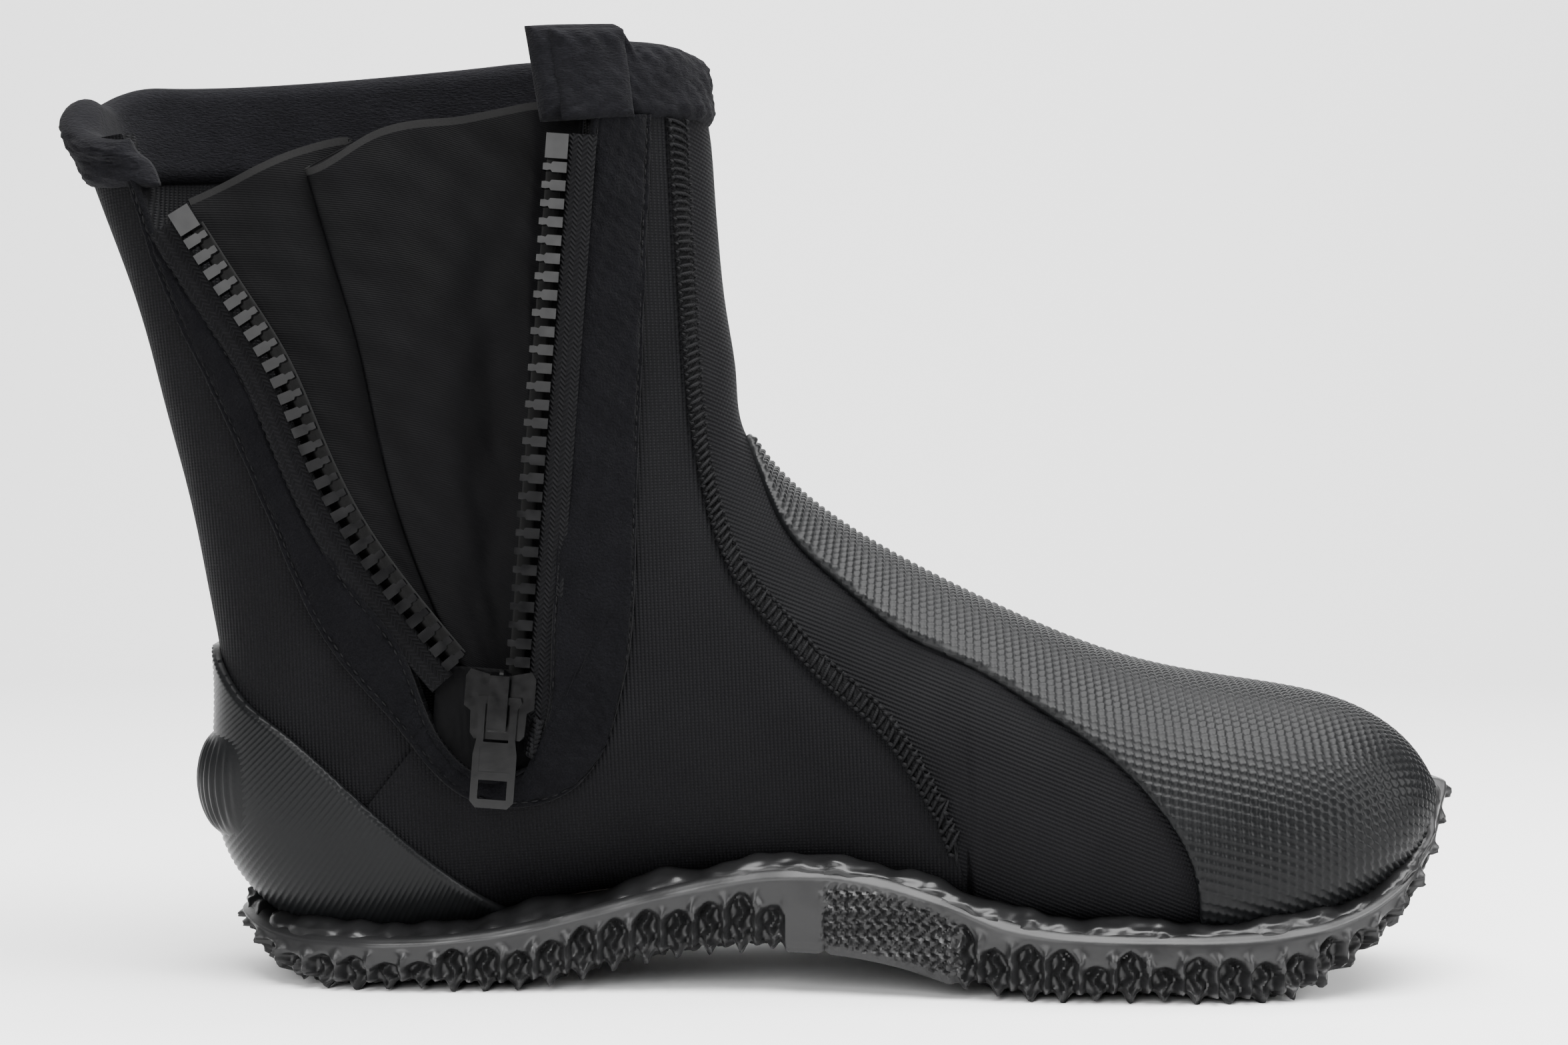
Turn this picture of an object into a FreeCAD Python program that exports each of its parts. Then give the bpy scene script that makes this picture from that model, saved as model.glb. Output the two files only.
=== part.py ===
import FreeCAD, Part
import math
import os

# A left neoprene dive boot with a side zip, standing open on its sole.
# Millimetres. +X runs from heel to toe, +Y to the outer (lateral) side, +Z up.
# The origin is on the ground under the middle of the heel.

os.makedirs("parts", exist_ok=True)
Vector = FreeCAD.Vector
doc = FreeCAD.newDocument("dive_boot")

# ---------------------------------------------------------------- driving sizes

SIZES = [
    ("heel_point", 55.0),       # heel strap ledge to the middle of the heel
    ("neoprene_wall", 5.0),     # sponge rubber panels
    ("cap_wall", 1.8),          # rubber toe and heel caps
    ("seam_gap", 0.3),          # between panels that meet edge to edge
    ("skin_gap", 0.3),          # between layers that lie on each other
    ("lug_depth", 5.6),         # the fin strap ledge stands out this far
    ("binding_wall", 9.0),      # plush binding folded over the top edge
    ("binding_stand", 1.8),     # how far the binding stands out of the panels
    ("placket_wall", 1.5),      # plush strip sewn round the zip
    ("seam_wall", 0.7),         # overlock thread band
    ("seam_width", 5.0),
    ("foxing_wall", 3.2),       # smooth rubber strip along the top of the sole
    ("foxing_width", 3.4),
    ("rim_wall", 4.6),          # sole rim beside the upper
    ("rib_pitch", 7.0),         # saw-tooth ribs round the sole's edge
    ("rib_depth", 1.6),
    ("groove_width", 3.0),      # tread grooves across the sole
    ("groove_depth", 2.4),
    ("board_wall", 2.5),        # lasting board
    ("insole_wall", 3.0),
    ("tooth_pitch", 4.0),
    ("tooth_count", 28),
    ("tooth_depth", 2.6),
    ("tooth_body", 3.1),        # tooth length on its tape
    ("tooth_head", 2.1),        # tooth length beyond the tape
    ("tooth_height", 2.3),
    ("row_offset", 3.2),        # row centre to the middle of the closed zip
    ("first_tooth", 11.0),
    ("tape_wall", 0.7),
    ("tape_width", 7.6),
    ("stop_length", 5.5),
    ("slider_width", 15.2),
    ("slider_length", 15.0),
    ("plate_wall", 1.4),
    ("channel", 3.8),           # room between the slider's two plates
    ("flange", 1.0),
    ("bridge_width", 4.2),
    ("pull_width", 9.5),
    ("pull_length", 24.0),
    ("pull_wall", 1.3),
    ("gusset_wall", 1.4),
    ("zip_tilt", 4.1),          # degrees that the front row leans forward
    ("zip_lean", 1.6),          # degrees that the zip leans inward
]

sheet = doc.addObject("Spreadsheet::Sheet", "sizes")
for line, (alias, value) in enumerate(SIZES, start=1):
    sheet.set("A%d" % line, alias)
    sheet.set("B%d" % line, str(value))
    sheet.setAlias("B%d" % line, alias)
doc.recompute()


def size(alias):
    return float(sheet.get(alias))


ORIGIN = Vector(-size("heel_point"), 0, 0)

# ---------------------------------------------------------------- the upper's shape

# Fan-shaped stations from the toe tip, round the instep, up to the collar. Each is a plane
# section from a point on the front ridge to a point on the sole or the back seam:
# (front x, z), (back x, z), middle y, medial and lateral half widths, where the section is
# widest, squareness of its front, medial back and lateral back, and how far short of the
# back point the side walls stop (radians).
STATIONS = [
    ((279.5, 42.0), (279.5, 36.0), -8, 8, 8, 0.50, 2.0, 2.0, 2.0, 0.55),
    ((275.0, 49.5), (275.0, 29.0), -8, 19, 19, 0.55, 2.1, 2.2, 2.2, 0.60),
    ((262.0, 59.0), (262.0, 18.0), -7, 33, 30, 0.60, 2.1, 2.6, 2.6, 0.60),
    ((240.0, 64.0), (240.0, 11.0), -4, 43, 41, 0.64, 2.1, 3.0, 3.0, 0.60),
    ((212.0, 69.5), (212.0, 9.5), -2, 47, 46, 0.66, 2.0, 3.0, 3.0, 0.60),
    ((184.0, 80.5), (184.0, 10.5), 0, 46, 47, 0.66, 2.0, 3.0, 3.0, 0.60),
    ((160.0, 92.5), (158.0, 14.5), 2, 41, 43, 0.64, 2.0, 3.0, 3.0, 0.60),
    ((137.5, 107.5), (120.0, 18.0), 3, 38, 38, 0.60, 2.0, 3.0, 3.0, 0.60),
    ((125.0, 122.5), (80.0, 15.0), 2, 36.5, 35, 0.56, 2.0, 3.2, 3.0, 0.55),
    ((122.8, 137.0), (32.0, 10.0), 0, 35, 35, 0.54, 2.0, 3.4, 2.8, 0.35),
    ((121.7, 146.0), (9.5, 28.0), 0, 35, 34, 0.52, 2.0, 3.0, 2.4, 0.0),
    ((120.5, 155.0), (6.5, 64.0), 0, 34.5, 33.5, 0.50, 2.0, 3.0, 2.2, 0.0),
    ((119.3, 167.0), (0.0, 104.0), 0, 34, 33.5, 0.48, 2.0, 3.4, 2.2, 0.0),
    ((118.2, 178.0), (-10.0, 145.0), 0, 34, 34, 0.47, 2.0, 4.2, 2.3, 0.0),
    ((116.8, 193.0), (-21.0, 177.5), 0, 34.5, 34.5, 0.46, 2.0, 4.5, 2.4, 0.0),
    ((114.5, 211.0), (-28.0, 197.0), 0, 35.5, 35, 0.46, 2.0, 4.5, 2.4, 0.0),
]
COLLAR_STATION = 14             # the binding's lower edge
HEEL_STATION = 10               # where the sole turns up behind the heel


def cubic(knots, values):
    """A natural cubic spline through the values, as a function."""
    count = len(knots)
    gap = [knots[i + 1] - knots[i] for i in range(count - 1)]
    bend = [0.0] * count
    factor = [0.0] * count
    for i in range(1, count - 1):
        slope = (values[i + 1] - values[i]) / gap[i] - (values[i] - values[i - 1]) / gap[i - 1]
        scale = 2 * (gap[i - 1] + gap[i]) - gap[i - 1] * factor[i - 1]
        factor[i] = gap[i] / scale
        bend[i] = (6 * slope - gap[i - 1] * bend[i - 1]) / scale
    for i in range(count - 2, 0, -1):
        bend[i] -= factor[i] * bend[i + 1]

    def at(place):
        place = min(max(place, knots[0]), knots[-1])
        i = 0
        while i < count - 2 and place > knots[i + 1]:
            i += 1
        left = (knots[i + 1] - place) / gap[i]
        right = 1 - left
        curve = (left ** 3 - left) * bend[i] + (right ** 3 - right) * bend[i + 1]
        return left * values[i] + right * values[i + 1] + curve * gap[i] ** 2 / 6

    return at


def spread_knots(points):
    """Knots spaced by the distance between the points."""
    knots = [0.0]
    for before, after in zip(points, points[1:]):
        knots.append(knots[-1] + math.dist(before, after))
    return knots


def flatten(station):
    return list(station[0]) + list(station[1]) + list(station[2:])


STATION_KNOTS = [0.0]
for before, after in zip(STATIONS, STATIONS[1:]):
    step = (math.dist(before[0], after[0]) + math.dist(before[1], after[1])) / 2
    STATION_KNOTS.append(STATION_KNOTS[-1] + step)
TRACKS = [cubic(STATION_KNOTS, column) for column in zip(*[flatten(s) for s in STATIONS])]
TOE = STATION_KNOTS[0]
HEEL = STATION_KNOTS[HEEL_STATION]
COLLAR = STATION_KNOTS[COLLAR_STATION]
RIM = STATION_KNOTS[-1]
section_cache = {}


def section(station):
    key = round(station, 4)
    if key not in section_cache:
        section_cache[key] = [track(station) for track in TRACKS]
    return section_cache[key]


def superellipse(angle, power):
    """A point of the unit superellipse, at this polar angle."""
    across = abs(math.cos(angle))
    along = abs(math.sin(angle))
    radius = (across ** power + along ** power) ** (-1 / power)
    return radius * across, radius * along


def skin(station, angle):
    """A point of the neoprene's outer face. Angle 0 is the front ridge and pi the back one.

    Medial angles run from 0 to pi. Lateral ones are negative, or run on past pi.
    """
    fx, fz, bx, bz, middle, medial, lateral, widest, front, back_m, back_l, tuck = section(station)
    angle = (angle + math.pi) % (2 * math.pi) - math.pi
    on_lateral = angle < 0
    angle = abs(angle)
    if angle < math.pi / 2:
        along, across = superellipse(angle, front)
        fraction = widest * (1 - along)
    else:
        along, across = superellipse(angle, back_l if on_lateral else back_m)
        fraction = widest + (1 - widest) * along
    y = middle + lateral * across if on_lateral else middle - medial * across
    return Vector(fx + fraction * (bx - fx), y, fz + fraction * (bz - fz))


def lift(station, angle, height):
    """The point that far outside the neoprene's outer face."""
    du = 0.4
    low, high = max(station - du, TOE), min(station + du, RIM)
    run = skin(high, angle) - skin(low, angle)
    turn = skin(station, angle + 0.02) - skin(station, angle - 0.02)
    normal = run.cross(turn)
    normal.normalize()
    here = skin(station, angle)
    fx, fz, bx, bz, middle = section(station)[:5]
    core = Vector((fx + bx) / 2, middle, (fz + bz) / 2)
    if normal.dot(here - core) < 0:
        normal = -normal
    return here + normal * height


def side_of_fan(station, x, z):
    fx, fz, bx, bz = section(station)[:4]
    return (x - fx) * (bz - fz) - (z - fz) * (bx - fx)


def locate(x, z, lateral=False):
    """Station and angle of the skin point seen at x, z from the side."""
    low, high = TOE, RIM
    sign = side_of_fan(low, x, z)
    for _ in range(40):
        middle = (low + high) / 2
        if side_of_fan(middle, x, z) * sign > 0:
            low = middle
        else:
            high = middle
    station = (low + high) / 2
    fx, fz, bx, bz, _, _, _, widest, front, back_m, back_l, _ = section(station)
    fraction = ((x - fx) * (bx - fx) + (z - fz) * (bz - fz)) / ((bx - fx) ** 2 + (bz - fz) ** 2)
    fraction = min(max(fraction, 0.0), 1.0)
    if fraction < widest:
        along = 1 - fraction / widest
        across = (1 - along ** front) ** (1 / front)
        return station, math.atan2(across, along)
    power = back_l if lateral else back_m
    along = (fraction - widest) / (1 - widest)
    across = (1 - along ** power) ** (1 / power)
    return station, math.pi - math.atan2(across, along)


def smooth_line(points, count):
    """Points along a smooth curve through the given side-view points."""
    knots = spread_knots(points)
    xs = cubic(knots, [p[0] for p in points])
    zs = cubic(knots, [p[1] for p in points])
    return [(xs(knots[-1] * i / count), zs(knots[-1] * i / count)) for i in range(count + 1)]


def seam(points, lateral=False, count=80):
    """The angle of a side-view seam as a function of the station."""
    found = sorted(locate(x, z, lateral) for x, z in smooth_line(points, count))

    def angle(station):
        if station <= found[0][0]:
            return found[0][1]
        for (s0, a0), (s1, a1) in zip(found, found[1:]):
            if station <= s1:
                return a0 + (a1 - a0) * (station - s0) / max(s1 - s0, 1e-9)
        return found[-1][1]

    return angle


# ---------------------------------------------------------------- seams in the side view

FLATLOCK = [(109.5, 193), (111.5, 166), (114, 129), (119.5, 102.5), (133.5, 80), (154, 60.5),
            (167.0, 43.0), (177.0, 26.0), (185.0, 12.0)]
TOE_EDGE = [(125.0, 122.0), (128.8, 111.8), (145.4, 89.1), (174.8, 70.1), (203.3, 51.7),
            (218.0, 36.5), (228.0, 22.0), (235.0, 11.5)]
HEEL_EDGE = [(3.2, 76.0), (16.1, 62.5), (33.3, 48.8), (64.6, 23.0), (82.0, 14.5)]
SOLE_TOP = [(279.4, 44.5), (275.5, 35.5), (267.0, 25.0), (254.0, 18.0), (236.0, 15.0), (205.0, 14.5),
            (182.0, 17.0), (163.0, 23.5), (140.0, 27.0), (113.0, 23.5), (84.0, 16.0), (60.0, 12.0),
            (35.0, 11.5), (20.0, 13.0), (13.0, 16.0)]
PLACKET_FRONT = [(96, 54), (100.4, 72), (101.8, 100), (102.8, 143), (104.5, 192)]
PLACKET_REAR = [(96, 54), (89.5, 44.8), (76, 39.8), (64, 42.5), (50.5, 56.8), (36, 73.5),
                (21.5, 102.6), (6.9, 134.6), (-1.8, 153.5), (-10.5, 180)]
SLOT_FRONT = [(78.5, 49), (82, 57), (83.5, 72), (86, 120), (88.8, 160), (92, 192)]
SLOT_START = (78.5, 49)         # bottom of the cut that the zip closes
LUG_Z = (33.0, 54.0)            # the fin strap ledge's lower and upper edges
LUG_REACH = 14.0                # how far forward its ends lie

# The rear tooth row, seen square to the zip: (distance from the pivot, degrees off the front row).
REAR_ROW = [(14, 46), (30, 45), (48, 43.4), (70, 39.8), (88, 37.2), (108, 36.9), (130, 36.9)]
REAR_CUT = 7.0                  # rear row centre to the neoprene's cut edge

ZIP_PIVOT = Vector(72.7, -37.0, 61.0)
ZIP_TURN = FreeCAD.Rotation(Vector(1, 0, 0), -size("zip_lean")).multiply(
    FreeCAD.Rotation(Vector(0, 1, 0), size("zip_tilt")))
ZIP_PLACE = FreeCAD.Placement(ZIP_PIVOT + ORIGIN, ZIP_TURN)


def zip_point(x, y, z):
    """A point of the zip's own frame, before the origin is moved to the heel."""
    return ZIP_PIVOT + ZIP_TURN.multVec(Vector(x, y, z))


row_angle = cubic([float(r) for r, _ in REAR_ROW], [float(a) for _, a in REAR_ROW])


def rear_row(radius, offset=0.0):
    """Place (x, z) in the zip's frame on the rear row, moved sideways away from the opening."""
    def at(distance):
        turn = math.radians(row_angle(distance))
        return -distance * math.sin(turn), distance * math.cos(turn)

    x, z = at(radius)
    ax, az = at(radius + 0.5)
    bx, bz = at(radius - 0.5)
    length = math.hypot(ax - bx, az - bz)
    return x - offset * (az - bz) / length, z + offset * (ax - bx) / length


def rear_cut_line():
    """Side-view points of the rear cut edge, from the bottom of the cut to the collar."""
    points = [SLOT_START, (70.5, 46.5), (61.5, 52)]
    for radius in (26, 38, 52, 68, 84, 100, 116, 130):
        x, z = rear_row(radius, REAR_CUT)
        point = zip_point(x, 0, z)
        points.append((point.x, point.z))
    return points


medial_seam = seam(FLATLOCK)
lateral_seam = seam(FLATLOCK, lateral=True)
toe_edge_medial = seam(TOE_EDGE)
toe_edge_lateral = seam(TOE_EDGE, lateral=True)
heel_edge_medial = seam(HEEL_EDGE)
heel_edge_lateral = seam(HEEL_EDGE, lateral=True)
sole_top_medial = seam(SOLE_TOP)
sole_top_lateral = seam(SOLE_TOP, lateral=True)
placket_front = seam(PLACKET_FRONT)
placket_rear = seam(PLACKET_REAR)
slot_front = seam(SLOT_FRONT)
slot_rear = seam(rear_cut_line())
SEAM_FOOT = locate(*FLATLOCK[-1])[0]
SEAM_TURN = locate(163.0, 48.0)[0]
TOE_EDGE_FOOT = locate(*TOE_EDGE[-1])[0]
TOE_EDGE_TURN = locate(203.3, 51.7)[0]
TOE_TIP = locate(*TOE_EDGE[0])[0]
HEEL_FRONT = locate(*HEEL_EDGE[-1])[0]
HEEL_TOP = locate(*HEEL_EDGE[0])[0]
PLACKET_START = locate(*PLACKET_FRONT[0])[0]
SLOT = locate(*SLOT_START)[0]
FLAP_START = locate(62.0, 60.0)[0]      # the swinging strip starts level with the zip's foot


def arc_gap(station, angle, gap):
    """The angle that spans this distance along the section, at this angle."""
    step = 0.01
    reach = (skin(station, angle + step) - skin(station, angle - step)).Length
    return gap * 2 * step / max(reach, 1e-6)


def wall_end(station):
    """Angle where a side wall stops, at the sole or just short of the back seam."""
    return math.pi - max(section(station)[11], arc_gap(station, math.pi, size("seam_gap")))


def beside(edge, gap):
    """An edge moved this far along the section, towards larger angles."""
    return lambda station: edge(station) + arc_gap(station, edge(station), gap)


def lateral_of(edge):
    return lambda station: -edge(station)


def behind(edge):
    """A lateral edge counted on past the back ridge."""
    return lambda station: 2 * math.pi - edge(station)


# ---------------------------------------------------------------- building blocks

sub_parts = []


def keep(thing, node, place=None):
    """Names a sub-part and puts it where it belongs."""
    thing.Label = node
    if place is not None:
        thing.Placement = place
    sub_parts.append(thing)
    return thing


def close_shell(outer, inner):
    """A solid between two spline faces with the same outline."""
    u0, u1, v0, v1 = outer.bounds()
    sides = [(outer.uIso(u0), inner.uIso(u0)), (outer.uIso(u1), inner.uIso(u1)),
             (outer.vIso(v0), inner.vIso(v0)), (outer.vIso(v1), inner.vIso(v1))]
    faces = [outer.toShape(), inner.toShape()]
    faces += [Part.makeRuledSurface(a.toShape(), b.toShape()) for a, b in sides]
    shell = Part.makeShell(faces)
    shell.sewShape()
    solid = Part.makeSolid(shell)
    if solid.Volume < 0:
        solid.reverse()
    return solid


def spline_face(rows):
    face = Part.BSplineSurface()
    face.interpolate(rows)
    return face


def patch(span, low_edge, high_edge, inner, outer, rows, columns):
    """A curved sheet of the upper between two stations and two edges.

    Inner and outer are the lifts of its two faces from the neoprene's outer face.
    """
    grids = ([], [])
    for i in range(rows + 1):
        station = span[0] + (span[1] - span[0]) * i / rows
        low, high = low_edge(station), high_edge(station)
        for grid, height in zip(grids, (outer, inner)):
            line = []
            for j in range(columns + 1):
                line.append(lift(station, low + (high - low) * j / columns, height))
            grid.append(line)
    return close_shell(spline_face(grids[0]), spline_face(grids[1]))


def sheet_part(node, solids):
    """A sub-part of one or more curved sheets."""
    thing = doc.addObject("Part::Feature", node)
    thing.Shape = solids[0] if len(solids) == 1 else Part.makeCompound(solids)
    return keep(thing, node, FreeCAD.Placement(ORIGIN, FreeCAD.Rotation()))


def new_body(node):
    return doc.addObject("PartDesign::Body", node)


def origin_feature(body, role):
    return [f for f in body.Origin.OriginFeatures if f.Role == role][0]


def sketch_on(body, role, name):
    sketch = body.newObject("Sketcher::SketchObject", name)
    sketch.AttachmentSupport = (origin_feature(body, role), "")
    sketch.MapMode = "FlatFace"
    return sketch


def draw_polygon(sketch, points):
    for before, after in zip(points, points[1:] + points[:1]):
        sketch.addGeometry(Part.LineSegment(Vector(*before, 0), Vector(*after, 0)))


def polygon_sketch(body, name, points, start):
    """A polygon in the zip's own XZ plane, moved to y = start."""
    sketch = sketch_on(body, "XZ_Plane", name + "_sketch")
    draw_polygon(sketch, points)
    sketch.AttachmentOffset = FreeCAD.Placement(Vector(0, 0, -start), FreeCAD.Rotation())
    return sketch


def pad_polygon(body, name, points, length, start):
    """Pads a polygon from y = start towards +Y, by a number or by a named cell of the sheet."""
    feature = body.newObject("PartDesign::Pad", name)
    feature.Profile = polygon_sketch(body, name, points, start)
    feature.Reversed = True
    if isinstance(length, str):
        feature.setExpression("Length", "<<sizes>>." + length)
    else:
        feature.Length = length
    return feature


def pocket_polygon(body, name, points, depth, start):
    """Cuts a polygon out of a body, from y = start towards +Y."""
    cut = body.newObject("PartDesign::Pocket", name)
    cut.Profile = polygon_sketch(body, name, points, start)
    cut.Length = depth


def box_points(x0, z0, x1, z1):
    return [(x0, z0), (x1, z0), (x1, z1), (x0, z1)]


# ---------------------------------------------------------------- neoprene panels

WALL = size("neoprene_wall")
GAP = size("seam_gap")
TOP = COLLAR - GAP


def make_vamp():
    """The front panel, from the toe over the instep and up the shin."""
    def medial_limit(station):
        return wall_end(station) if station < SEAM_FOOT else medial_seam(station)

    def lateral_limit(station):
        return -wall_end(station) if station < SEAM_FOOT else -lateral_seam(station)

    spans = [(TOE, SEAM_FOOT - GAP, 18, 20), (SEAM_FOOT, SEAM_TURN - GAP, 12, 16),
             (SEAM_TURN, TOP, 20, 14)]
    sheet_part("vamp_panel", [patch((low, high), lateral_limit, medial_limit, -WALL, 0, rows, columns)
                              for low, high, rows, columns in spans])


def make_medial_quarter():
    """The inner side panel: round the heel, in front of the zip and behind it."""
    front = beside(medial_seam, 2 * GAP)
    foot = patch((SEAM_FOOT + 2.5, SEAM_TURN - GAP), front, wall_end, -WALL, 0, 10, 8)
    low = patch((SEAM_TURN, SLOT - GAP), front, wall_end, -WALL, 0, 14, 16)
    ahead = patch((SLOT, TOP), front, beside(slot_front, -GAP), -WALL, 0, 18, 6)
    under = patch((SLOT, FLAP_START - GAP), slot_rear, wall_end, -WALL, 0, 10, 12)
    rear = patch((FLAP_START, TOP), beside(placket_rear, 2 * GAP), wall_end, -WALL, 0, 20, 10)
    sheet_part("medial_quarter", [foot, low, ahead, under, rear])


def make_lateral_quarter():
    front = lateral_of(beside(lateral_seam, 2 * GAP))
    back = lateral_of(wall_end)
    foot = patch((SEAM_FOOT + 2.5, SEAM_TURN - GAP), back, front, -WALL, 0, 10, 8)
    low = patch((SEAM_TURN, HEEL), back, front, -WALL, 0, 14, 16)
    high = patch((HEEL + GAP, TOP), back, front, -WALL, 0, 20, 16)
    sheet_part("lateral_quarter", [foot, low, high])


def make_rear_flap():
    """The strip of neoprene that carries the rear zip row and swings with it."""
    strip = patch((FLAP_START + GAP, TOP), slot_rear, placket_rear, -WALL, 0, 22, 6)
    sheet_part("rear_flap", [strip])


def make_caps():
    inner = size("skin_gap")
    outer = inner + size("cap_wall")

    def toe_medial(station):
        return wall_end(station) if station < TOE_EDGE_FOOT else toe_edge_medial(station)

    def toe_lateral(station):
        return -wall_end(station) if station < TOE_EDGE_FOOT else -toe_edge_lateral(station)

    front = patch((TOE, TOE_EDGE_FOOT - GAP), toe_lateral, toe_medial, inner, outer, 12, 22)
    side = patch((TOE_EDGE_FOOT, TOE_EDGE_TURN - GAP), toe_lateral, toe_medial, inner, outer, 12, 20)
    instep = patch((TOE_EDGE_TURN, TOE_TIP - 3), toe_lateral, toe_medial, inner, outer, 20, 14)
    sheet_part("toe_cap", [front, side, instep])

    foot = patch((HEEL_FRONT, HEEL - GAP), heel_edge_medial, wall_end, inner, outer, 8, 8)
    outer_foot = patch((HEEL_FRONT, HEEL - GAP), lateral_of(wall_end), lateral_of(heel_edge_lateral),
                       inner, outer, 8, 8)
    back = patch((HEEL, HEEL_TOP - 1.2), heel_edge_medial, behind(heel_edge_lateral),
                 inner, outer, 12, 20)
    sheet_part("heel_cap", [foot, outer_foot, back])


def back_ridge(z):
    """Where the back seam line stands at this height."""
    low, high = HEEL - 10, RIM
    for _ in range(30):
        middle = (low + high) / 2
        if section(middle)[3] < z:
            low = middle
        else:
            high = middle
    return section(low)[2]


def make_fin_strap_lug():
    """A rounded ledge across the back of the heel, which holds a fin strap up."""
    base = size("skin_gap") * 2 + size("cap_wall")
    low, high, depth = LUG_Z[0], LUG_Z[1], size("lug_depth")
    rows, columns = 10, 16
    grids = ([], [])
    for i in range(rows + 1):
        z = low + (high - low) * i / rows
        up = math.sin(math.pi * i / rows) ** 0.7
        for grid, proud in zip(grids, (1.0, 0.0)):
            line = []
            for j in range(columns + 1):
                across = -1 + 2 * j / columns
                x = back_ridge(z) + LUG_REACH * across ** 2
                station, angle = locate(x, z, lateral=across > 0)
                round_off = (1 - abs(across) ** 2.4) ** 0.7
                height = base + proud * (0.3 + depth * up * round_off)
                line.append(lift(station, 2 * math.pi - angle if across > 0 else angle, height))
            grid.append(line)
    sheet_part("fin_strap_lug", [close_shell(spline_face(grids[0]), spline_face(grids[1]))])


def make_seams():
    """The overlocked seams and the tape over the back seam."""
    half = size("seam_width") / 2
    inner = size("skin_gap")
    outer = inner + size("seam_wall")
    start = locate(171.5, 31.5)[0]
    for node, edge, flip in (("medial_flatlock_seam", medial_seam, False),
                             ("lateral_flatlock_seam", lateral_seam, True)):
        low, high = beside(edge, -half), beside(edge, half)
        if flip:
            low, high = lateral_of(high), lateral_of(low)
        sheet_part(node, [patch((start, TOP), low, high, inner, outer, 24, 3)])
    sheet_part("back_seam_tape", [patch(
        (HEEL_TOP + 1.0, TOP),
        lambda s: math.pi - arc_gap(s, math.pi, half),
        lambda s: math.pi + arc_gap(s, math.pi, half),
        inner, outer, 14, 3)])


def make_placket():
    """The plush strip round the zip: front, below and rear lengths."""
    inner = size("skin_gap")
    outer = inner + size("placket_wall")
    rear_edge = beside(placket_rear, -GAP)
    pieces = {
        "zip_placket_front": [((SLOT, TOP), placket_front, slot_front, 20)],
        "zip_placket_bottom": [((PLACKET_START + 0.6, SLOT - GAP), placket_front, rear_edge, 10),
                               ((SLOT, FLAP_START - GAP), slot_rear, rear_edge, 8)],
        "zip_placket_rear": [((FLAP_START + GAP, TOP), slot_rear, rear_edge, 22)],
    }
    for node, lengths in pieces.items():
        sheet_part(node, [patch(span, low, high, inner, outer, rows, 4)
                          for span, low, high, rows in lengths])


def make_collar():
    """The plush binding over the top edge. The rear end turns with the zip's rear row."""
    outer = size("binding_stand")
    inner = outer - size("binding_wall")
    front_end = slot_front(COLLAR) - 0.03
    flap_from, flap_to = slot_rear(COLLAR), placket_rear(COLLAR)

    def level(angle):
        return lambda station: angle

    lateral = patch((COLLAR, RIM), level(-math.pi), level(-0.004), inner, outer, 6, 24)
    medial = patch((COLLAR, RIM), level(0), level(front_end), inner, outer, 6, 14)
    back = patch((COLLAR, RIM), level(flap_to + 0.04), level(math.pi - 0.01), inner, outer, 6, 8)
    sheet_part("collar_binding", [lateral, medial, back])
    sheet_part("collar_binding_rear", [patch((COLLAR, RIM), level(flap_from - 0.06), level(flap_to),
                                             inner, outer, 6, 8)])


# ---------------------------------------------------------------- sole

# The sole's plan, walked from the back of the heel, along the medial side, to the toe
# and back along the lateral side. It is the edge of the foot's own print.
FOOTPRINT = [(14.5, 0), (18, -15), (29, -27), (47, -33.5), (75, -34.5), (105, -34), (135, -36.5),
             (165, -42), (195, -48.5), (222, -49.5), (247, -45.5), (265, -36.5), (276, -22), (280, -8),
             (276, 7), (265, 20), (247, 33), (222, 43), (195, 47.5), (165, 46.5), (135, 42),
             (105, 38.5), (75, 36), (47, 33.5), (29, 27), (18, 15)]
SOLE_BOTTOM = [(8, 15), (14, 9), (22, 3), (31, 0), (78, 0), (98, 4.5), (120, 8), (140, 9),
               (160, 6), (182, 0), (243, 0), (255, 5.5), (267, 14), (276, 24.5), (284.9, 40)]
GROOVES = (38, 50, 62, 190, 202, 214, 226, 236)     # tread grooves across both flat treads
GROOVE_REACH = 26
CAVITY_GAP = 0.6
HOLLOW_POINTS = 44              # points round each section of the sole's hollow
FOXING_START = 8.0              # station beside the toe where the sealing strip starts
BOARD_START = 12.0
GUSSET_FRONT = 8.0              # the gusset's front edge, from the middle of the zip
GUSSET_FOOT = -7.5              # its lowest point, up from the zip's pivot


def footprint_ring(offset):
    """Points round the footprint, moved out, and in and out again at each rib."""
    curve = Part.BSplineCurve()
    curve.interpolate([Vector(x, y, 0) for x, y in FOOTPRINT], PeriodicFlag=True)
    ribs = int(curve.length() / size("rib_pitch"))
    points = []
    for i, place in enumerate(curve.discretize(2 * ribs + 1)[:-1]):
        tangent = curve.tangent(curve.parameter(place))[0]
        outward = Vector(-tangent.y, tangent.x, 0)
        if outward.dot(place - Vector(140, 0, 0)) < 0:
            outward = -outward
        depth = size("rib_depth") / 2
        points.append(place + outward * (offset + (depth if i % 2 else -depth)))
    return points


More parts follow.
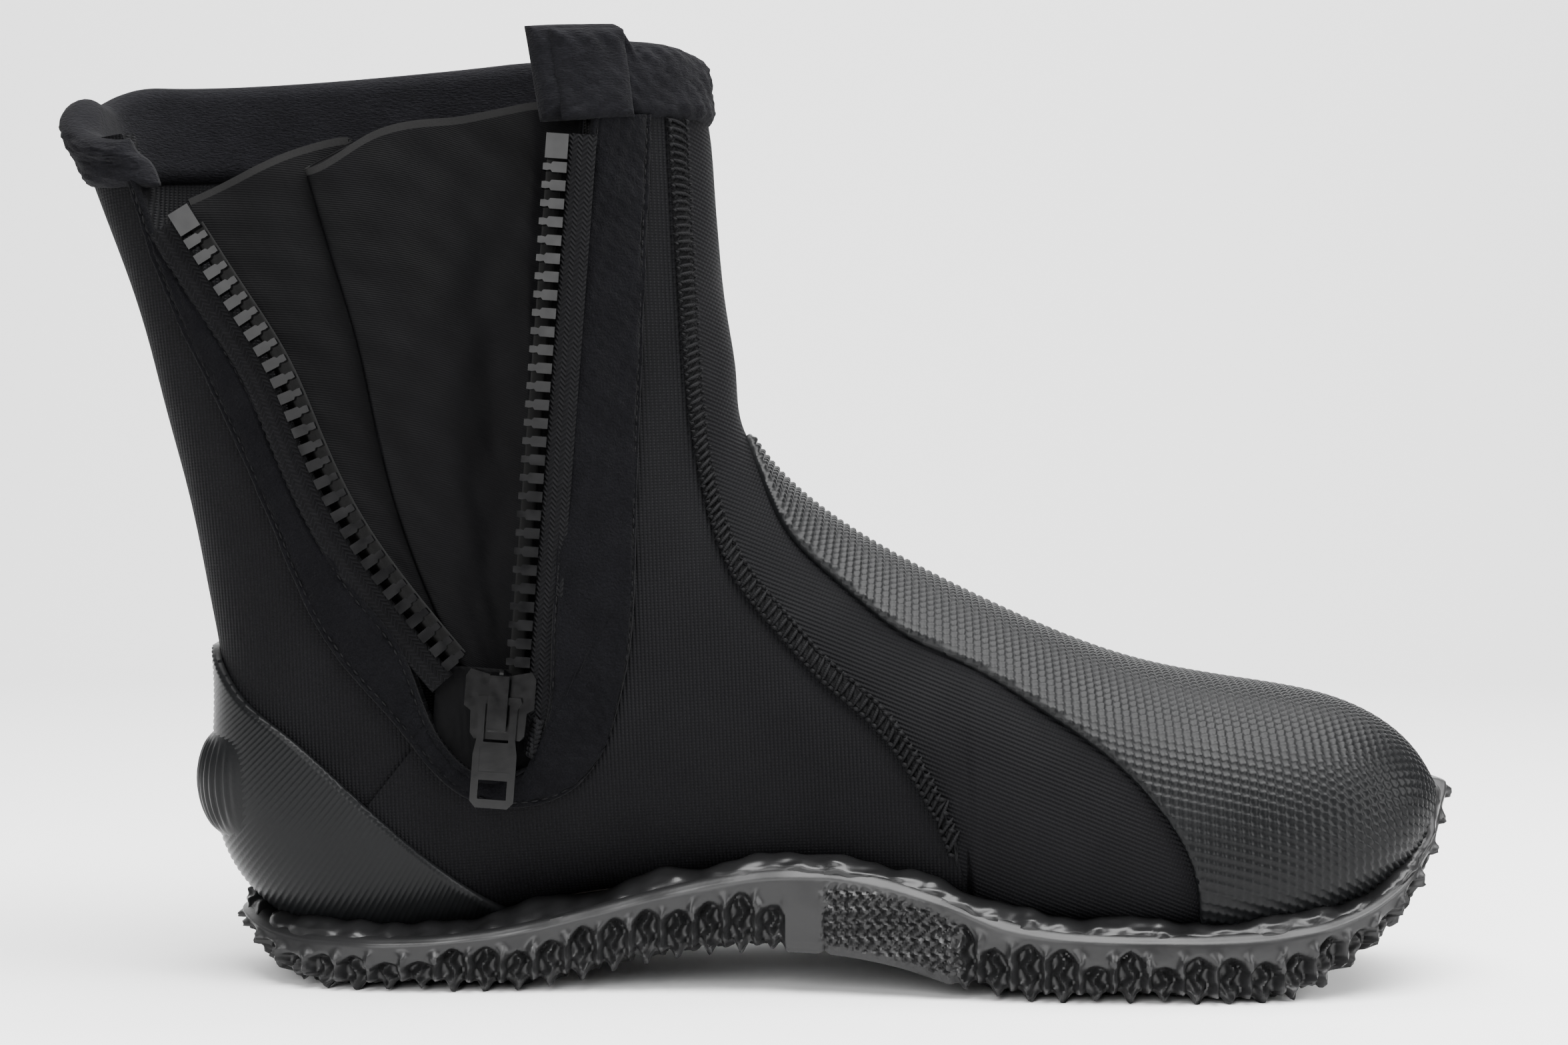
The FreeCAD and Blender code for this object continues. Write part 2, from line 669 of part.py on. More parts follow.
def section_wire(station, height, forward=0.0):
    """The closed outline of one station, widened in its own plane by this height."""
    fx, fz, bx, bz, middle = section(station)[:5]
    across = Vector(bx - fx, 0, bz - fz).cross(Vector(0, 1, 0))
    core = Vector((fx + bx) / 2, middle, (fz + bz) / 2)
    points = []
    for i in range(HOLLOW_POINTS):
        angle = -math.pi + 2 * math.pi * i / HOLLOW_POINTS
        here = skin(station, angle)
        turn = skin(station, angle + 0.03) - skin(station, angle - 0.03)
        normal = turn.cross(across)
        normal.normalize()
        if normal.dot(here - core) < 0:
            normal = -normal
        points.append(here + normal * height + Vector(forward, 0, 0))
    curve = Part.BSplineCurve()
    curve.interpolate(points, PeriodicFlag=True)
    return Part.Wire(curve.toShape())


def upper_solid(height):
    """The closed shape of the lower boot, widened by this height, for the sole's hollow."""
    top = HEEL + 30
    wires = [section_wire(TOE, height * 0.6, forward=height), section_wire(TOE, height)]
    count = 26
    for i in range(1, count + 1):
        wires.append(section_wire(TOE + (top - TOE) * i / count, height))
    return Part.makeLoft(wires, True, False)


def extruded_profile(points, direction):
    """A prism on a closed polygon."""
    wire = Part.makePolygon(points + points[:1])
    return Part.Face(wire).extrude(direction)


def side_profile(half_span):
    """The sole seen from the side, as a prism across the boot."""
    def curve(points):
        line = Part.BSplineCurve()
        line.interpolate([Vector(x, -half_span, z) for x, z in points])
        return line.toShape()

    def straight(before, after):
        return Part.LineSegment(Vector(before[0], -half_span, before[1]),
                                Vector(after[0], -half_span, after[1])).toShape()

    heel, arch, toe = SOLE_BOTTOM[:4], SOLE_BOTTOM[4:10], SOLE_BOTTOM[10:]
    front, back = (290.0, SOLE_TOP[0][1] + 1), (5.0, SOLE_TOP[-1][1] + 1)
    edges = [curve(heel), straight(heel[-1], arch[0]), curve(arch), straight(arch[-1], toe[0]),
             curve(toe), straight(toe[-1], front), straight(front, SOLE_TOP[0]), curve(SOLE_TOP),
             straight(SOLE_TOP[-1], back), straight(back, heel[0])]
    return Part.Face(Part.Wire(edges)).extrude(Vector(0, 2 * half_span, 0))


def make_outsole():
    """The rubber sole: ribbed edge, curved underside, and a hollow for the upper."""
    plan = extruded_profile(footprint_ring(size("rim_wall")), Vector(0, 0, 60))
    blank = plan.common(side_profile(70))
    width, depth = size("groove_width"), size("groove_depth")
    grooves = [Part.makeBox(width, 2 * GROOVE_REACH, depth, Vector(x, -GROOVE_REACH, 0))
               for x in GROOVES]
    hollow = upper_solid(CAVITY_GAP + size("cap_wall"))
    solid = blank.cut(grooves).cut(hollow).cut(foxing_strips(0.25))
    thing = doc.addObject("Part::Feature", "outsole")
    thing.Shape = max(solid.Solids, key=lambda piece: piece.Volume)
    keep(thing, "outsole", FreeCAD.Placement(ORIGIN, FreeCAD.Rotation()))


def foxing_strips(spare=0.0):
    """The medial and lateral strips that seal the sole's top edge, with this much room round them."""
    inner = size("cap_wall") + 2 * size("skin_gap") - 4 * spare
    outer = size("cap_wall") + 2 * size("skin_gap") + size("foxing_wall") + spare
    span = (FOXING_START - spare, locate(*SOLE_TOP[-1])[0] - 1 + spare)
    top, bottom = -size("foxing_width") - spare, -GAP + spare
    medial = patch(span, beside(sole_top_medial, top), beside(sole_top_medial, bottom),
                   inner, outer, 40, 3)
    lateral = patch(span, lateral_of(beside(sole_top_lateral, bottom)),
                    lateral_of(beside(sole_top_lateral, top)), inner, outer, 40, 3)
    return [medial, lateral]


def make_foxing():
    """The smooth rubber strip along the top of the sole."""
    sheet_part("foxing_band", foxing_strips())


def make_boards():
    """The lasting board under the foot, and the foam insole on it."""
    board = size("board_wall")
    insole = size("insole_wall")
    span = (BOARD_START, HEEL - 6)
    edge = beside(wall_end, 0.5)
    sheet_part("lasting_board", [patch(span, edge, behind(edge), -board, 0, 24, 10)])
    sheet_part("insole", [patch(span, edge, behind(edge), -board - insole - GAP, -board - GAP, 24, 10)])


# ---------------------------------------------------------------- zip

TEETH = int(size("tooth_count"))
HALF_TOOTH = size("tooth_depth") / 2
TAPE_START = HALF_TOOTH + 0.05
TAPE_INNER = 2.2                # row centre to the tape's inner edge


def tooth_outline(centre, side):
    """A tooth seen square to the zip. Side is +1 when its head points towards -x."""
    body, head, half = size("tooth_body"), size("tooth_head"), size("tooth_height") / 2
    root = -0.5
    points = [(root, -half), (root + body, -half), (root + body, half), (root, half),
              (root - 0.4, half * 0.55), (root - head * 0.6, half * 0.7), (root - head, half * 0.62),
              (root - head, -half * 0.62), (root - head * 0.6, -half * 0.7), (root - 0.4, -half * 0.55)]
    return [(centre + side * x, z) for x, z in points]


def make_front_row():
    body = new_body("zip_teeth_front")
    outline = [(x, z + size("first_tooth")) for x, z in tooth_outline(size("row_offset"), 1)]
    tooth = pad_polygon(body, "tooth", outline, "tooth_depth", -HALF_TOOTH)
    row = body.newObject("PartDesign::LinearPattern", "tooth_row")
    row.Originals = [tooth]
    row.Direction = (origin_feature(body, "Z_Axis"), [""])
    row.setExpression("Length", "<<sizes>>.tooth_pitch * (<<sizes>>.tooth_count - 1)")
    row.setExpression("Occurrences", "<<sizes>>.tooth_count")
    body.Tip = row
    keep(body, "zip_teeth_front", ZIP_PLACE)

    body = new_body("zip_tape_front")
    inner = size("row_offset") - TAPE_INNER
    outline = box_points(inner, -9, inner + size("tape_width"), 126)
    pad_polygon(body, "tape", outline, "tape_wall", TAPE_START)
    keep(body, "zip_tape_front", ZIP_PLACE)

    body = new_body("zip_top_stop_front")
    low = size("first_tooth") + size("tooth_pitch") * (TEETH - 1) + 1.8
    outline = box_points(0.9, low, 5.8, low + size("stop_length"))
    pad_polygon(body, "stop", outline, size("tooth_depth") + 0.6, -HALF_TOOTH - 0.6)
    keep(body, "zip_top_stop_front", ZIP_PLACE)

    body = new_body("zip_bottom_stop")
    pad_polygon(body, "stop", box_points(-3.4, -12, 3.4, -8.4), "tooth_depth", -HALF_TOOTH)
    keep(body, "zip_bottom_stop", ZIP_PLACE)


def rear_row_radii():
    """Distances from the pivot of the rear teeth, one pitch apart along their curve."""
    radii = []
    radius = size("first_tooth") + 4.0
    step = 0.1
    travelled = 0.0
    x, z = rear_row(radius)
    while len(radii) < TEETH:
        if travelled >= len(radii) * size("tooth_pitch"):
            radii.append(radius)
        radius += step
        nx, nz = rear_row(radius)
        travelled += math.hypot(nx - x, nz - z)
        x, z = nx, nz
    return radii


def make_rear_row():
    radii = rear_row_radii()
    outline = [Vector(x, -HALF_TOOTH, z) for x, z in tooth_outline(0, -1)]
    tooth = extruded_profile(outline, Vector(0, size("tooth_depth"), 0))
    teeth = []
    for radius in radii:
        x, z = rear_row(radius)
        ax, az = rear_row(radius + 1)
        turn = FreeCAD.Rotation(Vector(0, 1, 0), math.degrees(math.atan2(ax - x, az - z)))
        teeth.append(tooth.transformed(FreeCAD.Placement(Vector(x, 0, z), turn).toMatrix()))
    row = doc.addObject("Part::Feature", "zip_teeth_rear")
    row.Shape = Part.makeCompound(teeth)
    keep(row, "zip_teeth_rear", ZIP_PLACE)

    last = radii[-1] + 2
    length = size("stop_length")
    x, z = rear_row(last + length / 2)
    ax, az = rear_row(last + length / 2 + 1)
    turn = FreeCAD.Rotation(Vector(0, 1, 0), math.degrees(math.atan2(ax - x, az - z)))
    stop = doc.addObject("Part::Box", "zip_top_stop_rear")
    stop.Length = 4.9
    stop.Width = size("tooth_depth") + 0.6
    stop.setExpression("Height", "<<sizes>>.stop_length")
    corner = FreeCAD.Placement(Vector(-2.45, -HALF_TOOTH - 0.6, -length / 2), FreeCAD.Rotation())
    place = FreeCAD.Placement(Vector(x, 0, z), turn)
    keep(stop, "zip_top_stop_rear", ZIP_PLACE.multiply(place).multiply(corner))

    body = new_body("zip_tape_rear")
    steps = 20
    ends = (12.0, last + length)
    along = [ends[0] + (ends[1] - ends[0]) * i / steps for i in range(steps + 1)]
    outline = [rear_row(radius, -TAPE_INNER) for radius in along]
    outline += [rear_row(radius, size("tape_width") - TAPE_INNER) for radius in reversed(along)]
    pad_polygon(body, "tape", outline, "tape_wall", TAPE_START)
    keep(body, "zip_tape_rear", ZIP_PLACE)


def make_gusset():
    """The folded sheet of nylon-faced neoprene behind the zip opening."""
    wall = size("gusset_wall")
    rear = [(-5.0, GUSSET_FOOT)]
    rear += [rear_row(radius, 4.6) for radius in (22, 40, 60, 80, 100, 116, 131)]
    knots = spread_knots(rear)
    rear_x, rear_z = cubic(knots, [p[0] for p in rear]), cubic(knots, [p[1] for p in rear])
    rows, columns = 16, 20
    grids = ([], [])
    for i in range(rows + 1):
        up = i / rows
        front = (GUSSET_FRONT, GUSSET_FOOT + (130 - GUSSET_FOOT) * up)
        back = (rear_x(knots[-1] * up), rear_z(knots[-1] * up))
        for grid, depth in zip(grids, (4.3, 4.3 + wall)):
            line = []
            for j in range(columns + 1):
                across = j / columns
                bow = math.sin(math.pi * across)
                x = front[0] + (back[0] - front[0]) * across
                z = front[1] + (back[1] - front[1]) * across + 7 * up ** 3 * bow
                fold = (1 + 9 * up) * bow + 2.2 * up * math.sin(3 * math.pi * across) ** 2
                line.append(zip_point(x, depth + fold, z))
            grid.append(line)
    sheet_part("gusset", [close_shell(spline_face(grids[0]), spline_face(grids[1]))])


# ---------------------------------------------------------------- slider and pull

PLATE_FACE = -HALF_TOOTH - 0.2  # inner face of the slider's outer plate
BRIDGE_Z = (-4.4, -3.1, 7.2, 8.5)
BRIDGE_ROOF = 2.3               # clear height under the bridge
PULL_HINGE = Vector(0, PLATE_FACE - size("plate_wall") - BRIDGE_ROOF / 2, 2.5)


def make_slider():
    half, length = size("slider_width") / 2, size("slider_length")
    low, high = -6.0, length - 6.0
    right = [(half - 2.6, low), (half - 1.7, low + 1.2), (half - 1.5, low + 6), (half, low + 7),
             (half, high - 1.5), (half - 1.0, high), (half - 5.6, high - 1.1)]
    plate = right + [(-x, z) for x, z in reversed(right)]
    wall = size("plate_wall")
    body = new_body("slider_body")
    pad_polygon(body, "outer_plate", plate, "plate_wall", PLATE_FACE - wall)
    inner_face = PLATE_FACE + size("channel")
    wedge = [(-0.45, high), (0, high - 6), (0.45, high)]
    pad_polygon(body, "wedge", wedge, wall * 2 + size("channel"), PLATE_FACE - wall)
    pad_polygon(body, "inner_plate", plate, "plate_wall", inner_face)
    flange = size("flange")
    for name, x in (("front_flange", half - flange), ("rear_flange", -half)):
        pad_polygon(body, name, box_points(x, low + 7, x + flange, high - 1.5), 2.6, PLATE_FACE - 0.1)
    keep(body, "slider_body", ZIP_PLACE)

    bridge = new_body("slider_bridge")
    sketch = sketch_on(bridge, "YZ_Plane", "bridge_sketch")
    foot = PLATE_FACE - wall
    under = foot - BRIDGE_ROOF
    roof = under - 1.1
    z0, z1, z2, z3 = BRIDGE_Z
    draw_polygon(sketch, [(foot, z0), (foot, z1), (under, z1), (under, z2), (foot, z2), (foot, z3),
                          (roof, z3 - 0.6), (roof, z0 + 0.6)])
    feature = bridge.newObject("PartDesign::Pad", "bridge")
    feature.Profile = sketch
    feature.Midplane = True
    feature.setExpression("Length", "<<sizes>>.bridge_width")
    keep(bridge, "slider_bridge", ZIP_PLACE)


def make_pull():
    half, wall = size("pull_width") / 2, size("pull_wall")
    hinge_z = PULL_HINGE.z
    top = hinge_z + 0.8
    low = top - size("pull_length")
    face = PULL_HINGE.y - wall / 2
    right = [(half, top), (half + 0.3, top - 1.0), (half - 0.5, top - 2.6), (half - 0.6, top - 9.0),
             (half, top - 12.5), (half, low + 1.4), (half - 1.3, low)]
    outline = right + [(-x, z) for x, z in reversed(right)]
    body = new_body("pull_tab")
    pad_polygon(body, "tab", outline, "pull_wall", face)
    doc.recompute()
    full = body.Shape.Volume
    through = wall * 3
    pocket_polygon(body, "window", box_points(-2.7, top - 9.8, 2.7, top - 1.6), through, face - wall)
    pocket_polygon(body, "hole", box_points(-3.1, low + 1.9, 3.1, low + 6.0), through, face - wall)
    pocket_polygon(body, "recess", box_points(-3.3, low + 7.8, 3.3, low + 12.8), 0.3, face)
    doc.recompute()
    removed = full - body.Shape.Volume
    print("pull window, hole and recess remove", round(removed, 1), "of", round(full, 1), "mm3")
    keep(body, "pull_tab", ZIP_PLACE)


# ---------------------------------------------------------------- build and write

for make in (make_vamp, make_medial_quarter, make_lateral_quarter, make_rear_flap, make_caps,
             make_fin_strap_lug, make_seams, make_placket, make_collar, make_outsole, make_foxing,
             make_boards, make_front_row, make_rear_row, make_gusset, make_slider, make_pull):
    make()

doc.recompute()
faults = []
for thing in doc.Objects:
    if "Invalid" in thing.State or "Error" in thing.State:
        faults.append("%s is %s" % (thing.Label, thing.State))
for thing in sub_parts:
    shape = thing.Shape
    if shape.isNull() or not shape.isValid():
        faults.append("%s has no valid shape" % thing.Label)
    print("%-24s %2d solids %9.1f mm3" % (thing.Label, len(shape.Solids), shape.Volume))
if faults:
    raise SystemExit("\n".join(faults))
for thing in sub_parts:
    thing.Shape.exportStep("parts/%s.step" % thing.Label)
for name, local in (("zip pivot", Vector(0, 0, 0)), ("pull hinge", PULL_HINGE)):
    print(name, ZIP_PLACE.multVec(local))
for name, axis in (("forward", Vector(1, 0, 0)), ("inward", Vector(0, 1, 0)),
                   ("up the row", Vector(0, 0, 1))):
    print("zip axis", name, ZIP_TURN.multVec(axis))
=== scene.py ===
"""The look of a left neoprene dive boot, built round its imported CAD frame."""
import math

import bmesh
import bpy
import numpy as np
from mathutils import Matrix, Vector


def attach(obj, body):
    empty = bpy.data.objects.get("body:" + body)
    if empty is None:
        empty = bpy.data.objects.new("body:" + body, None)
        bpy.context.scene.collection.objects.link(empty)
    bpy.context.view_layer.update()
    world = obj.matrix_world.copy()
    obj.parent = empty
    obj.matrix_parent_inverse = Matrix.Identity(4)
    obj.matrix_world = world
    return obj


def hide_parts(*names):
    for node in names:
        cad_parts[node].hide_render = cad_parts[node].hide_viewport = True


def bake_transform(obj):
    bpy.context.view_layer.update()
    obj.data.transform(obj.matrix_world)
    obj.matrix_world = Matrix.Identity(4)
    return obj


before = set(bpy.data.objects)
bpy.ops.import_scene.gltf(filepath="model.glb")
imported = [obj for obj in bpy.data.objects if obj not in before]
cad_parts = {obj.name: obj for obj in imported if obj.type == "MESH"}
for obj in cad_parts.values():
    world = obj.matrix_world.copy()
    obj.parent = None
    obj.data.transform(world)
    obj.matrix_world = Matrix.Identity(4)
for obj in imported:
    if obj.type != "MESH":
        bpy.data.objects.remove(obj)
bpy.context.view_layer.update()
HEEL_POINT = 55.0               # the upper is drawn from its back point, in mm


# ---------------------------------------------------------------- the upper's shape

# The same fan of sections as the CAD: (front x, z), (back x, z), middle y, medial and lateral
# half widths, where it is widest, squareness of its front, medial back and lateral back, and
# how far short of the back point the side walls stop.
STATIONS = [
    ((279.5, 42.0), (279.5, 36.0), -8, 8, 8, 0.50, 2.0, 2.0, 2.0, 0.55),
    ((275.0, 49.5), (275.0, 29.0), -8, 19, 19, 0.55, 2.1, 2.2, 2.2, 0.60),
    ((262.0, 59.0), (262.0, 18.0), -7, 33, 30, 0.60, 2.1, 2.6, 2.6, 0.60),
    ((240.0, 64.0), (240.0, 11.0), -4, 43, 41, 0.64, 2.1, 3.0, 3.0, 0.60),
    ((212.0, 69.5), (212.0, 9.5), -2, 47, 46, 0.66, 2.0, 3.0, 3.0, 0.60),
    ((184.0, 80.5), (184.0, 10.5), 0, 46, 47, 0.66, 2.0, 3.0, 3.0, 0.60),
    ((160.0, 92.5), (158.0, 14.5), 2, 41, 43, 0.64, 2.0, 3.0, 3.0, 0.60),
    ((137.5, 107.5), (120.0, 18.0), 3, 38, 38, 0.60, 2.0, 3.0, 3.0, 0.60),
    ((125.0, 122.5), (80.0, 15.0), 2, 36.5, 35, 0.56, 2.0, 3.2, 3.0, 0.55),
    ((122.8, 137.0), (32.0, 10.0), 0, 35, 35, 0.54, 2.0, 3.4, 2.8, 0.35),
    ((121.7, 146.0), (9.5, 28.0), 0, 35, 34, 0.52, 2.0, 3.0, 2.4, 0.0),
    ((120.5, 155.0), (6.5, 64.0), 0, 34.5, 33.5, 0.50, 2.0, 3.0, 2.2, 0.0),
    ((119.3, 167.0), (0.0, 104.0), 0, 34, 33.5, 0.48, 2.0, 3.4, 2.2, 0.0),
    ((118.2, 178.0), (-10.0, 145.0), 0, 34, 34, 0.47, 2.0, 4.2, 2.3, 0.0),
    ((116.8, 193.0), (-21.0, 177.5), 0, 34.5, 34.5, 0.46, 2.0, 4.5, 2.4, 0.0),
    ((114.5, 211.0), (-28.0, 197.0), 0, 35.5, 35, 0.46, 2.0, 4.5, 2.4, 0.0),
]


def cubic(knots, values):
    """A natural cubic spline through the values, as a function of arrays."""
    knots, values = np.array(knots, float), np.array(values, float)
    gap = np.diff(knots)
    count = len(knots)
    system, right = np.eye(count), np.zeros(count)
    for i in range(1, count - 1):
        system[i, i - 1:i + 2] = gap[i - 1], 2 * (gap[i - 1] + gap[i]), gap[i]
        right[i] = 6 * ((values[i + 1] - values[i]) / gap[i] - (values[i] - values[i - 1]) / gap[i - 1])
    bend = np.linalg.solve(system, right)

    def at(place):
        place = np.clip(place, knots[0], knots[-1])
        i = np.clip(np.searchsorted(knots, place, side="right") - 1, 0, count - 2)
        left = (knots[i + 1] - place) / gap[i]
        rest = 1 - left
        curve = (left ** 3 - left) * bend[i] + (rest ** 3 - rest) * bend[i + 1]
        return left * values[i] + rest * values[i + 1] + curve * gap[i] ** 2 / 6

    return at


def spread_knots(points):
    """Knots spaced by the distance between the points."""
    steps = np.linalg.norm(np.diff(np.array(points, float), axis=0), axis=1)
    return np.concatenate([[0.0], np.cumsum(steps)])


FRONTS = spread_knots([s[0] for s in STATIONS])
BACKS = spread_knots([s[1] for s in STATIONS])
KNOTS = (FRONTS + BACKS) / 2
TRACKS = [cubic(KNOTS, column) for column in zip(*[s[0] + s[1] + s[2:] for s in STATIONS])]
TOE, RIM = KNOTS[0], KNOTS[-1]
HEEL, COLLAR = KNOTS[10], KNOTS[14]


def section(station):
    """The fan's measures at these stations, in the order of the table."""
    return [track(station) for track in TRACKS]


def skin(station, angle):
    """Points of the neoprene's outer face. Angle 0 is the front ridge, pi the back one."""
    station, angle = np.broadcast_arrays(np.asarray(station, float), np.asarray(angle, float))
    fx, fz, bx, bz, middle, medial, lateral, widest, front, back_m, back_l, _ = section(station)
    angle = (angle + math.pi) % (2 * math.pi) - math.pi
    on_lateral = angle < 0
    angle = np.abs(angle)
    on_front = angle < math.pi / 2
    power = np.where(on_front, front, np.where(on_lateral, back_l, back_m))
    along, across = np.abs(np.cos(angle)), np.abs(np.sin(angle))
    radius = (along ** power + across ** power) ** (-1 / power)
    along, across = along * radius, across * radius
    fraction = np.where(on_front, widest * (1 - along), widest + (1 - widest) * along)
    y = np.where(on_lateral, middle + lateral * across, middle - medial * across)
    return np.stack([fx + fraction * (bx - fx), y, fz + fraction * (bz - fz)], axis=-1)


def surface(station, angle):
    """Points of the neoprene's outer face, and the directions out of it."""
    step = 0.4
    station = np.asarray(station, float)
    low, high = np.maximum(station - step, TOE), np.minimum(station + step, RIM)
    run = skin(high, angle) - skin(low, angle)
    turn = skin(station, angle + 0.02) - skin(station, angle - 0.02)
    normal = np.cross(run, turn)
    normal /= np.maximum(np.linalg.norm(normal, axis=-1, keepdims=True), 1e-9)
    here = skin(station, angle)
    fx, fz, bx, bz, middle = section(np.broadcast_to(station, here.shape[:-1]))[:5]
    core = np.stack([(fx + bx) / 2, middle, (fz + bz) / 2], axis=-1)
    inward = np.sum(normal * (here - core), axis=-1, keepdims=True) < 0
    return here, np.where(inward, -normal, normal)


def side_of_fan(station, x, z):
    """Positive or negative by which side of a station's line the points are on."""
    fx, fz, bx, bz = section(station)[:4]
    return (x - fx) * (bz - fz) - (z - fz) * (bx - fx)


def locate(x, z, lateral=False):
    """Stations and angles of the skin points seen at x, z from the side."""
    x, z = np.atleast_1d(np.asarray(x, float)), np.atleast_1d(np.asarray(z, float))
    low, high = np.full(x.shape, TOE), np.full(x.shape, RIM)
    sign = side_of_fan(low, x, z)
    for _ in range(40):
        middle = (low + high) / 2
        same = side_of_fan(middle, x, z) * sign > 0
        low, high = np.where(same, middle, low), np.where(same, high, middle)
    station = (low + high) / 2
    fx, fz, bx, bz, _, _, _, widest, front, back_m, back_l, _ = section(station)
    fraction = ((x - fx) * (bx - fx) + (z - fz) * (bz - fz)) / ((bx - fx) ** 2 + (bz - fz) ** 2)
    fraction = np.clip(fraction, 0, 1)
    on_front = fraction < widest
    power = np.where(on_front, front, back_l if lateral else back_m)
    along = np.where(on_front, 1 - fraction / widest, (fraction - widest) / (1 - widest))
    across = np.maximum(1 - along ** power, 0) ** (1 / power)
    turn = np.arctan2(across, along)
    return station, np.where(on_front, turn, math.pi - turn)


def smooth_line(points, count):
    """Points along a smooth curve through these ones."""
    knots = spread_knots(points)
    places = np.linspace(0, knots[-1], count)
    return np.stack([cubic(knots, column)(places) for column in zip(*points)], axis=-1)


def seam(points, lateral=False):
    """The angle of a side-view line as a function of the station."""
    line = smooth_line(points, 160)
    stations, angles = locate(line[:, 0], line[:, 1], lateral)
    order = np.argsort(stations)
    return lambda station: np.interp(station, stations[order], angles[order])


def station_of(x, z):
    return float(locate(x, z)[0][0])


# Side-view lines, in mm from the back point.
FLATLOCK = [(109.8, 193), (111.3, 166.9), (112.6, 147.3), (114.1, 129.3), (119.4, 102.6), (124.6, 90.9),
            (133.4, 80), (143.6, 69.1), (153.7, 60.6), (161.6, 50.7), (167.2, 40.8), (171.3, 31.1),
            (174.5, 19.0), (176.5, 10.0)]
TOE_EDGE = [(125.0, 122.0), (128.8, 111.8), (134.9, 99.6), (145.4, 89.1), (160.2, 77.3), (174.8, 70.1),
            (189.2, 61.5), (203.3, 51.7), (214.3, 40.5), (220.7, 29.6), (223.5, 14.0), (224.5, 9.0)]
HEEL_EDGE = [(5.4, 75.5), (16.1, 62.0), (24.8, 55.8), (33.3, 48.8), (49.1, 34.6), (64.6, 22.1),
             (77.6, 12.7), (84.0, 8.0)]
SOLE_TOP = [(279.4, 44.5), (275.5, 35.5), (267.0, 25.0), (254.0, 18.0), (236.0, 15.0), (205.0, 14.5),
            (182.0, 17.0), (163.0, 23.5), (140.0, 27.0), (113.0, 23.5), (84.0, 16.0), (60.0, 12.0),
            (35.0, 11.5), (20.0, 13.0), (13.0, 16.0)]
PLACKET_FRONT = [(96, 54), (100.4, 72), (101.8, 100), (102.8, 143), (104.5, 194)]
PLACKET_REAR = [(96, 54), (89.5, 44.8), (76, 39.8), (64, 42.5), (50.5, 56.8), (36, 73.5),
                (21.5, 102.6), (6.9, 134.6), (-1.8, 153.5), (-10.5, 180)]
SLOT_FRONT = [(78.5, 49), (82, 57), (83.5, 72), (86, 120), (88.8, 160), (92, 194)]
SLOT_START = (78.5, 49)
REAR_CUT = 7.0                  # rear tooth row to the neoprene's cut edge

# The rear tooth row, seen square to the zip: distance from the pivot, degrees off the front row.
REAR_ROW = [(14, 46), (30, 45), (48, 43.4), (70, 39.8), (88, 37.2), (108, 36.9), (130, 36.9)]
ZIP_PIVOT = np.array([72.7, -37.0, 61.0])
ZIP_TILT, ZIP_LEAN = math.radians(4.1), math.radians(-1.6)


def turning(axis, angle):
    """A rotation matrix about one of the row's axes."""
    c, s = math.cos(angle), math.sin(angle)
    i, j = [(1, 2), (2, 0), (0, 1)][axis]
    matrix = np.eye(3)
    matrix[i, i], matrix[i, j], matrix[j, i], matrix[j, j] = c, -s, s, c
    return matrix


ZIP_TURN = turning(0, ZIP_LEAN) @ turning(1, ZIP_TILT)


def zip_point(x, y, z):
    """Points of the zip's own frame: across the zip, inward, and up its front row."""
    local = np.stack(np.broadcast_arrays(*(np.asarray(part, float) for part in (x, y, z))), -1)
    return ZIP_PIVOT + local @ ZIP_TURN.T


row_angle = cubic(*zip(*REAR_ROW))


def rear_row(radius, offset=0.0):
    """x, z in the zip's frame on the rear tooth row, moved away from the opening."""
    def at(distance):
        turn = np.radians(row_angle(distance))
        return -distance * np.sin(turn), distance * np.cos(turn)

    x, z = at(radius)
    (ax, az), (bx, bz) = at(radius + 0.5), at(radius - 0.5)
    length = np.hypot(ax - bx, az - bz)
    return x - offset * (az - bz) / length, z + offset * (ax - bx) / length


def rear_cut_line():
    points = [SLOT_START, (70.5, 46.5), (61.5, 52)]
    for radius in (26, 38, 52, 68, 84, 100, 116, 130):
        point = zip_point(*np.insert(np.array(rear_row(radius, REAR_CUT)), 1, 0))
        points.append((point[0], point[2]))
    return points


medial_seam, lateral_seam = seam(FLATLOCK), seam(FLATLOCK, True)
toe_medial, toe_lateral = seam(TOE_EDGE), seam(TOE_EDGE, True)
heel_medial, heel_lateral = seam(HEEL_EDGE), seam(HEEL_EDGE, True)
placket_front, placket_rear = seam(PLACKET_FRONT), seam(PLACKET_REAR)
slot_front, slot_rear = seam(SLOT_FRONT), seam(rear_cut_line())
SEAM_FOOT = station_of(*FLATLOCK[-1])
SEAM_TOP = COLLAR + 1.5
PANEL_TOP = COLLAR + 8.0         # the neoprene runs up inside the binding
TOE_TIP = station_of(*TOE_EDGE[0])
HEEL_FOOT, HEEL_TOP = station_of(*HEEL_EDGE[-1]), station_of(*HEEL_EDGE[0])
PLACKET_START, SLOT = station_of(*PLACKET_FRONT[0]), station_of(*SLOT_START)
FLAP_START = station_of(62.0, 60.0)


def wall_end(station):
    """Where a side wall stops, under the foot or at the back seam."""
    return math.pi - np.maximum(section(station)[11], 0.0)


def arc_gap(station, angle, gap):
    """The angle that spans this distance along the section."""
    reach = np.linalg.norm(skin(station, angle + 0.01) - skin(station, angle - 0.01), axis=-1)
    return gap * 0.02 / np.maximum(reach, 1e-6)


def beside(edge, gap):
    """A line this far from another, measured along the sections."""
    return lambda station: edge(station) + arc_gap(station, edge(station), gap)


def mirror(edge):
    return lambda station: -edge(station)


def level(angle):
    return lambda station: np.full(np.shape(station), float(angle))


# ---------------------------------------------------------------- meshes

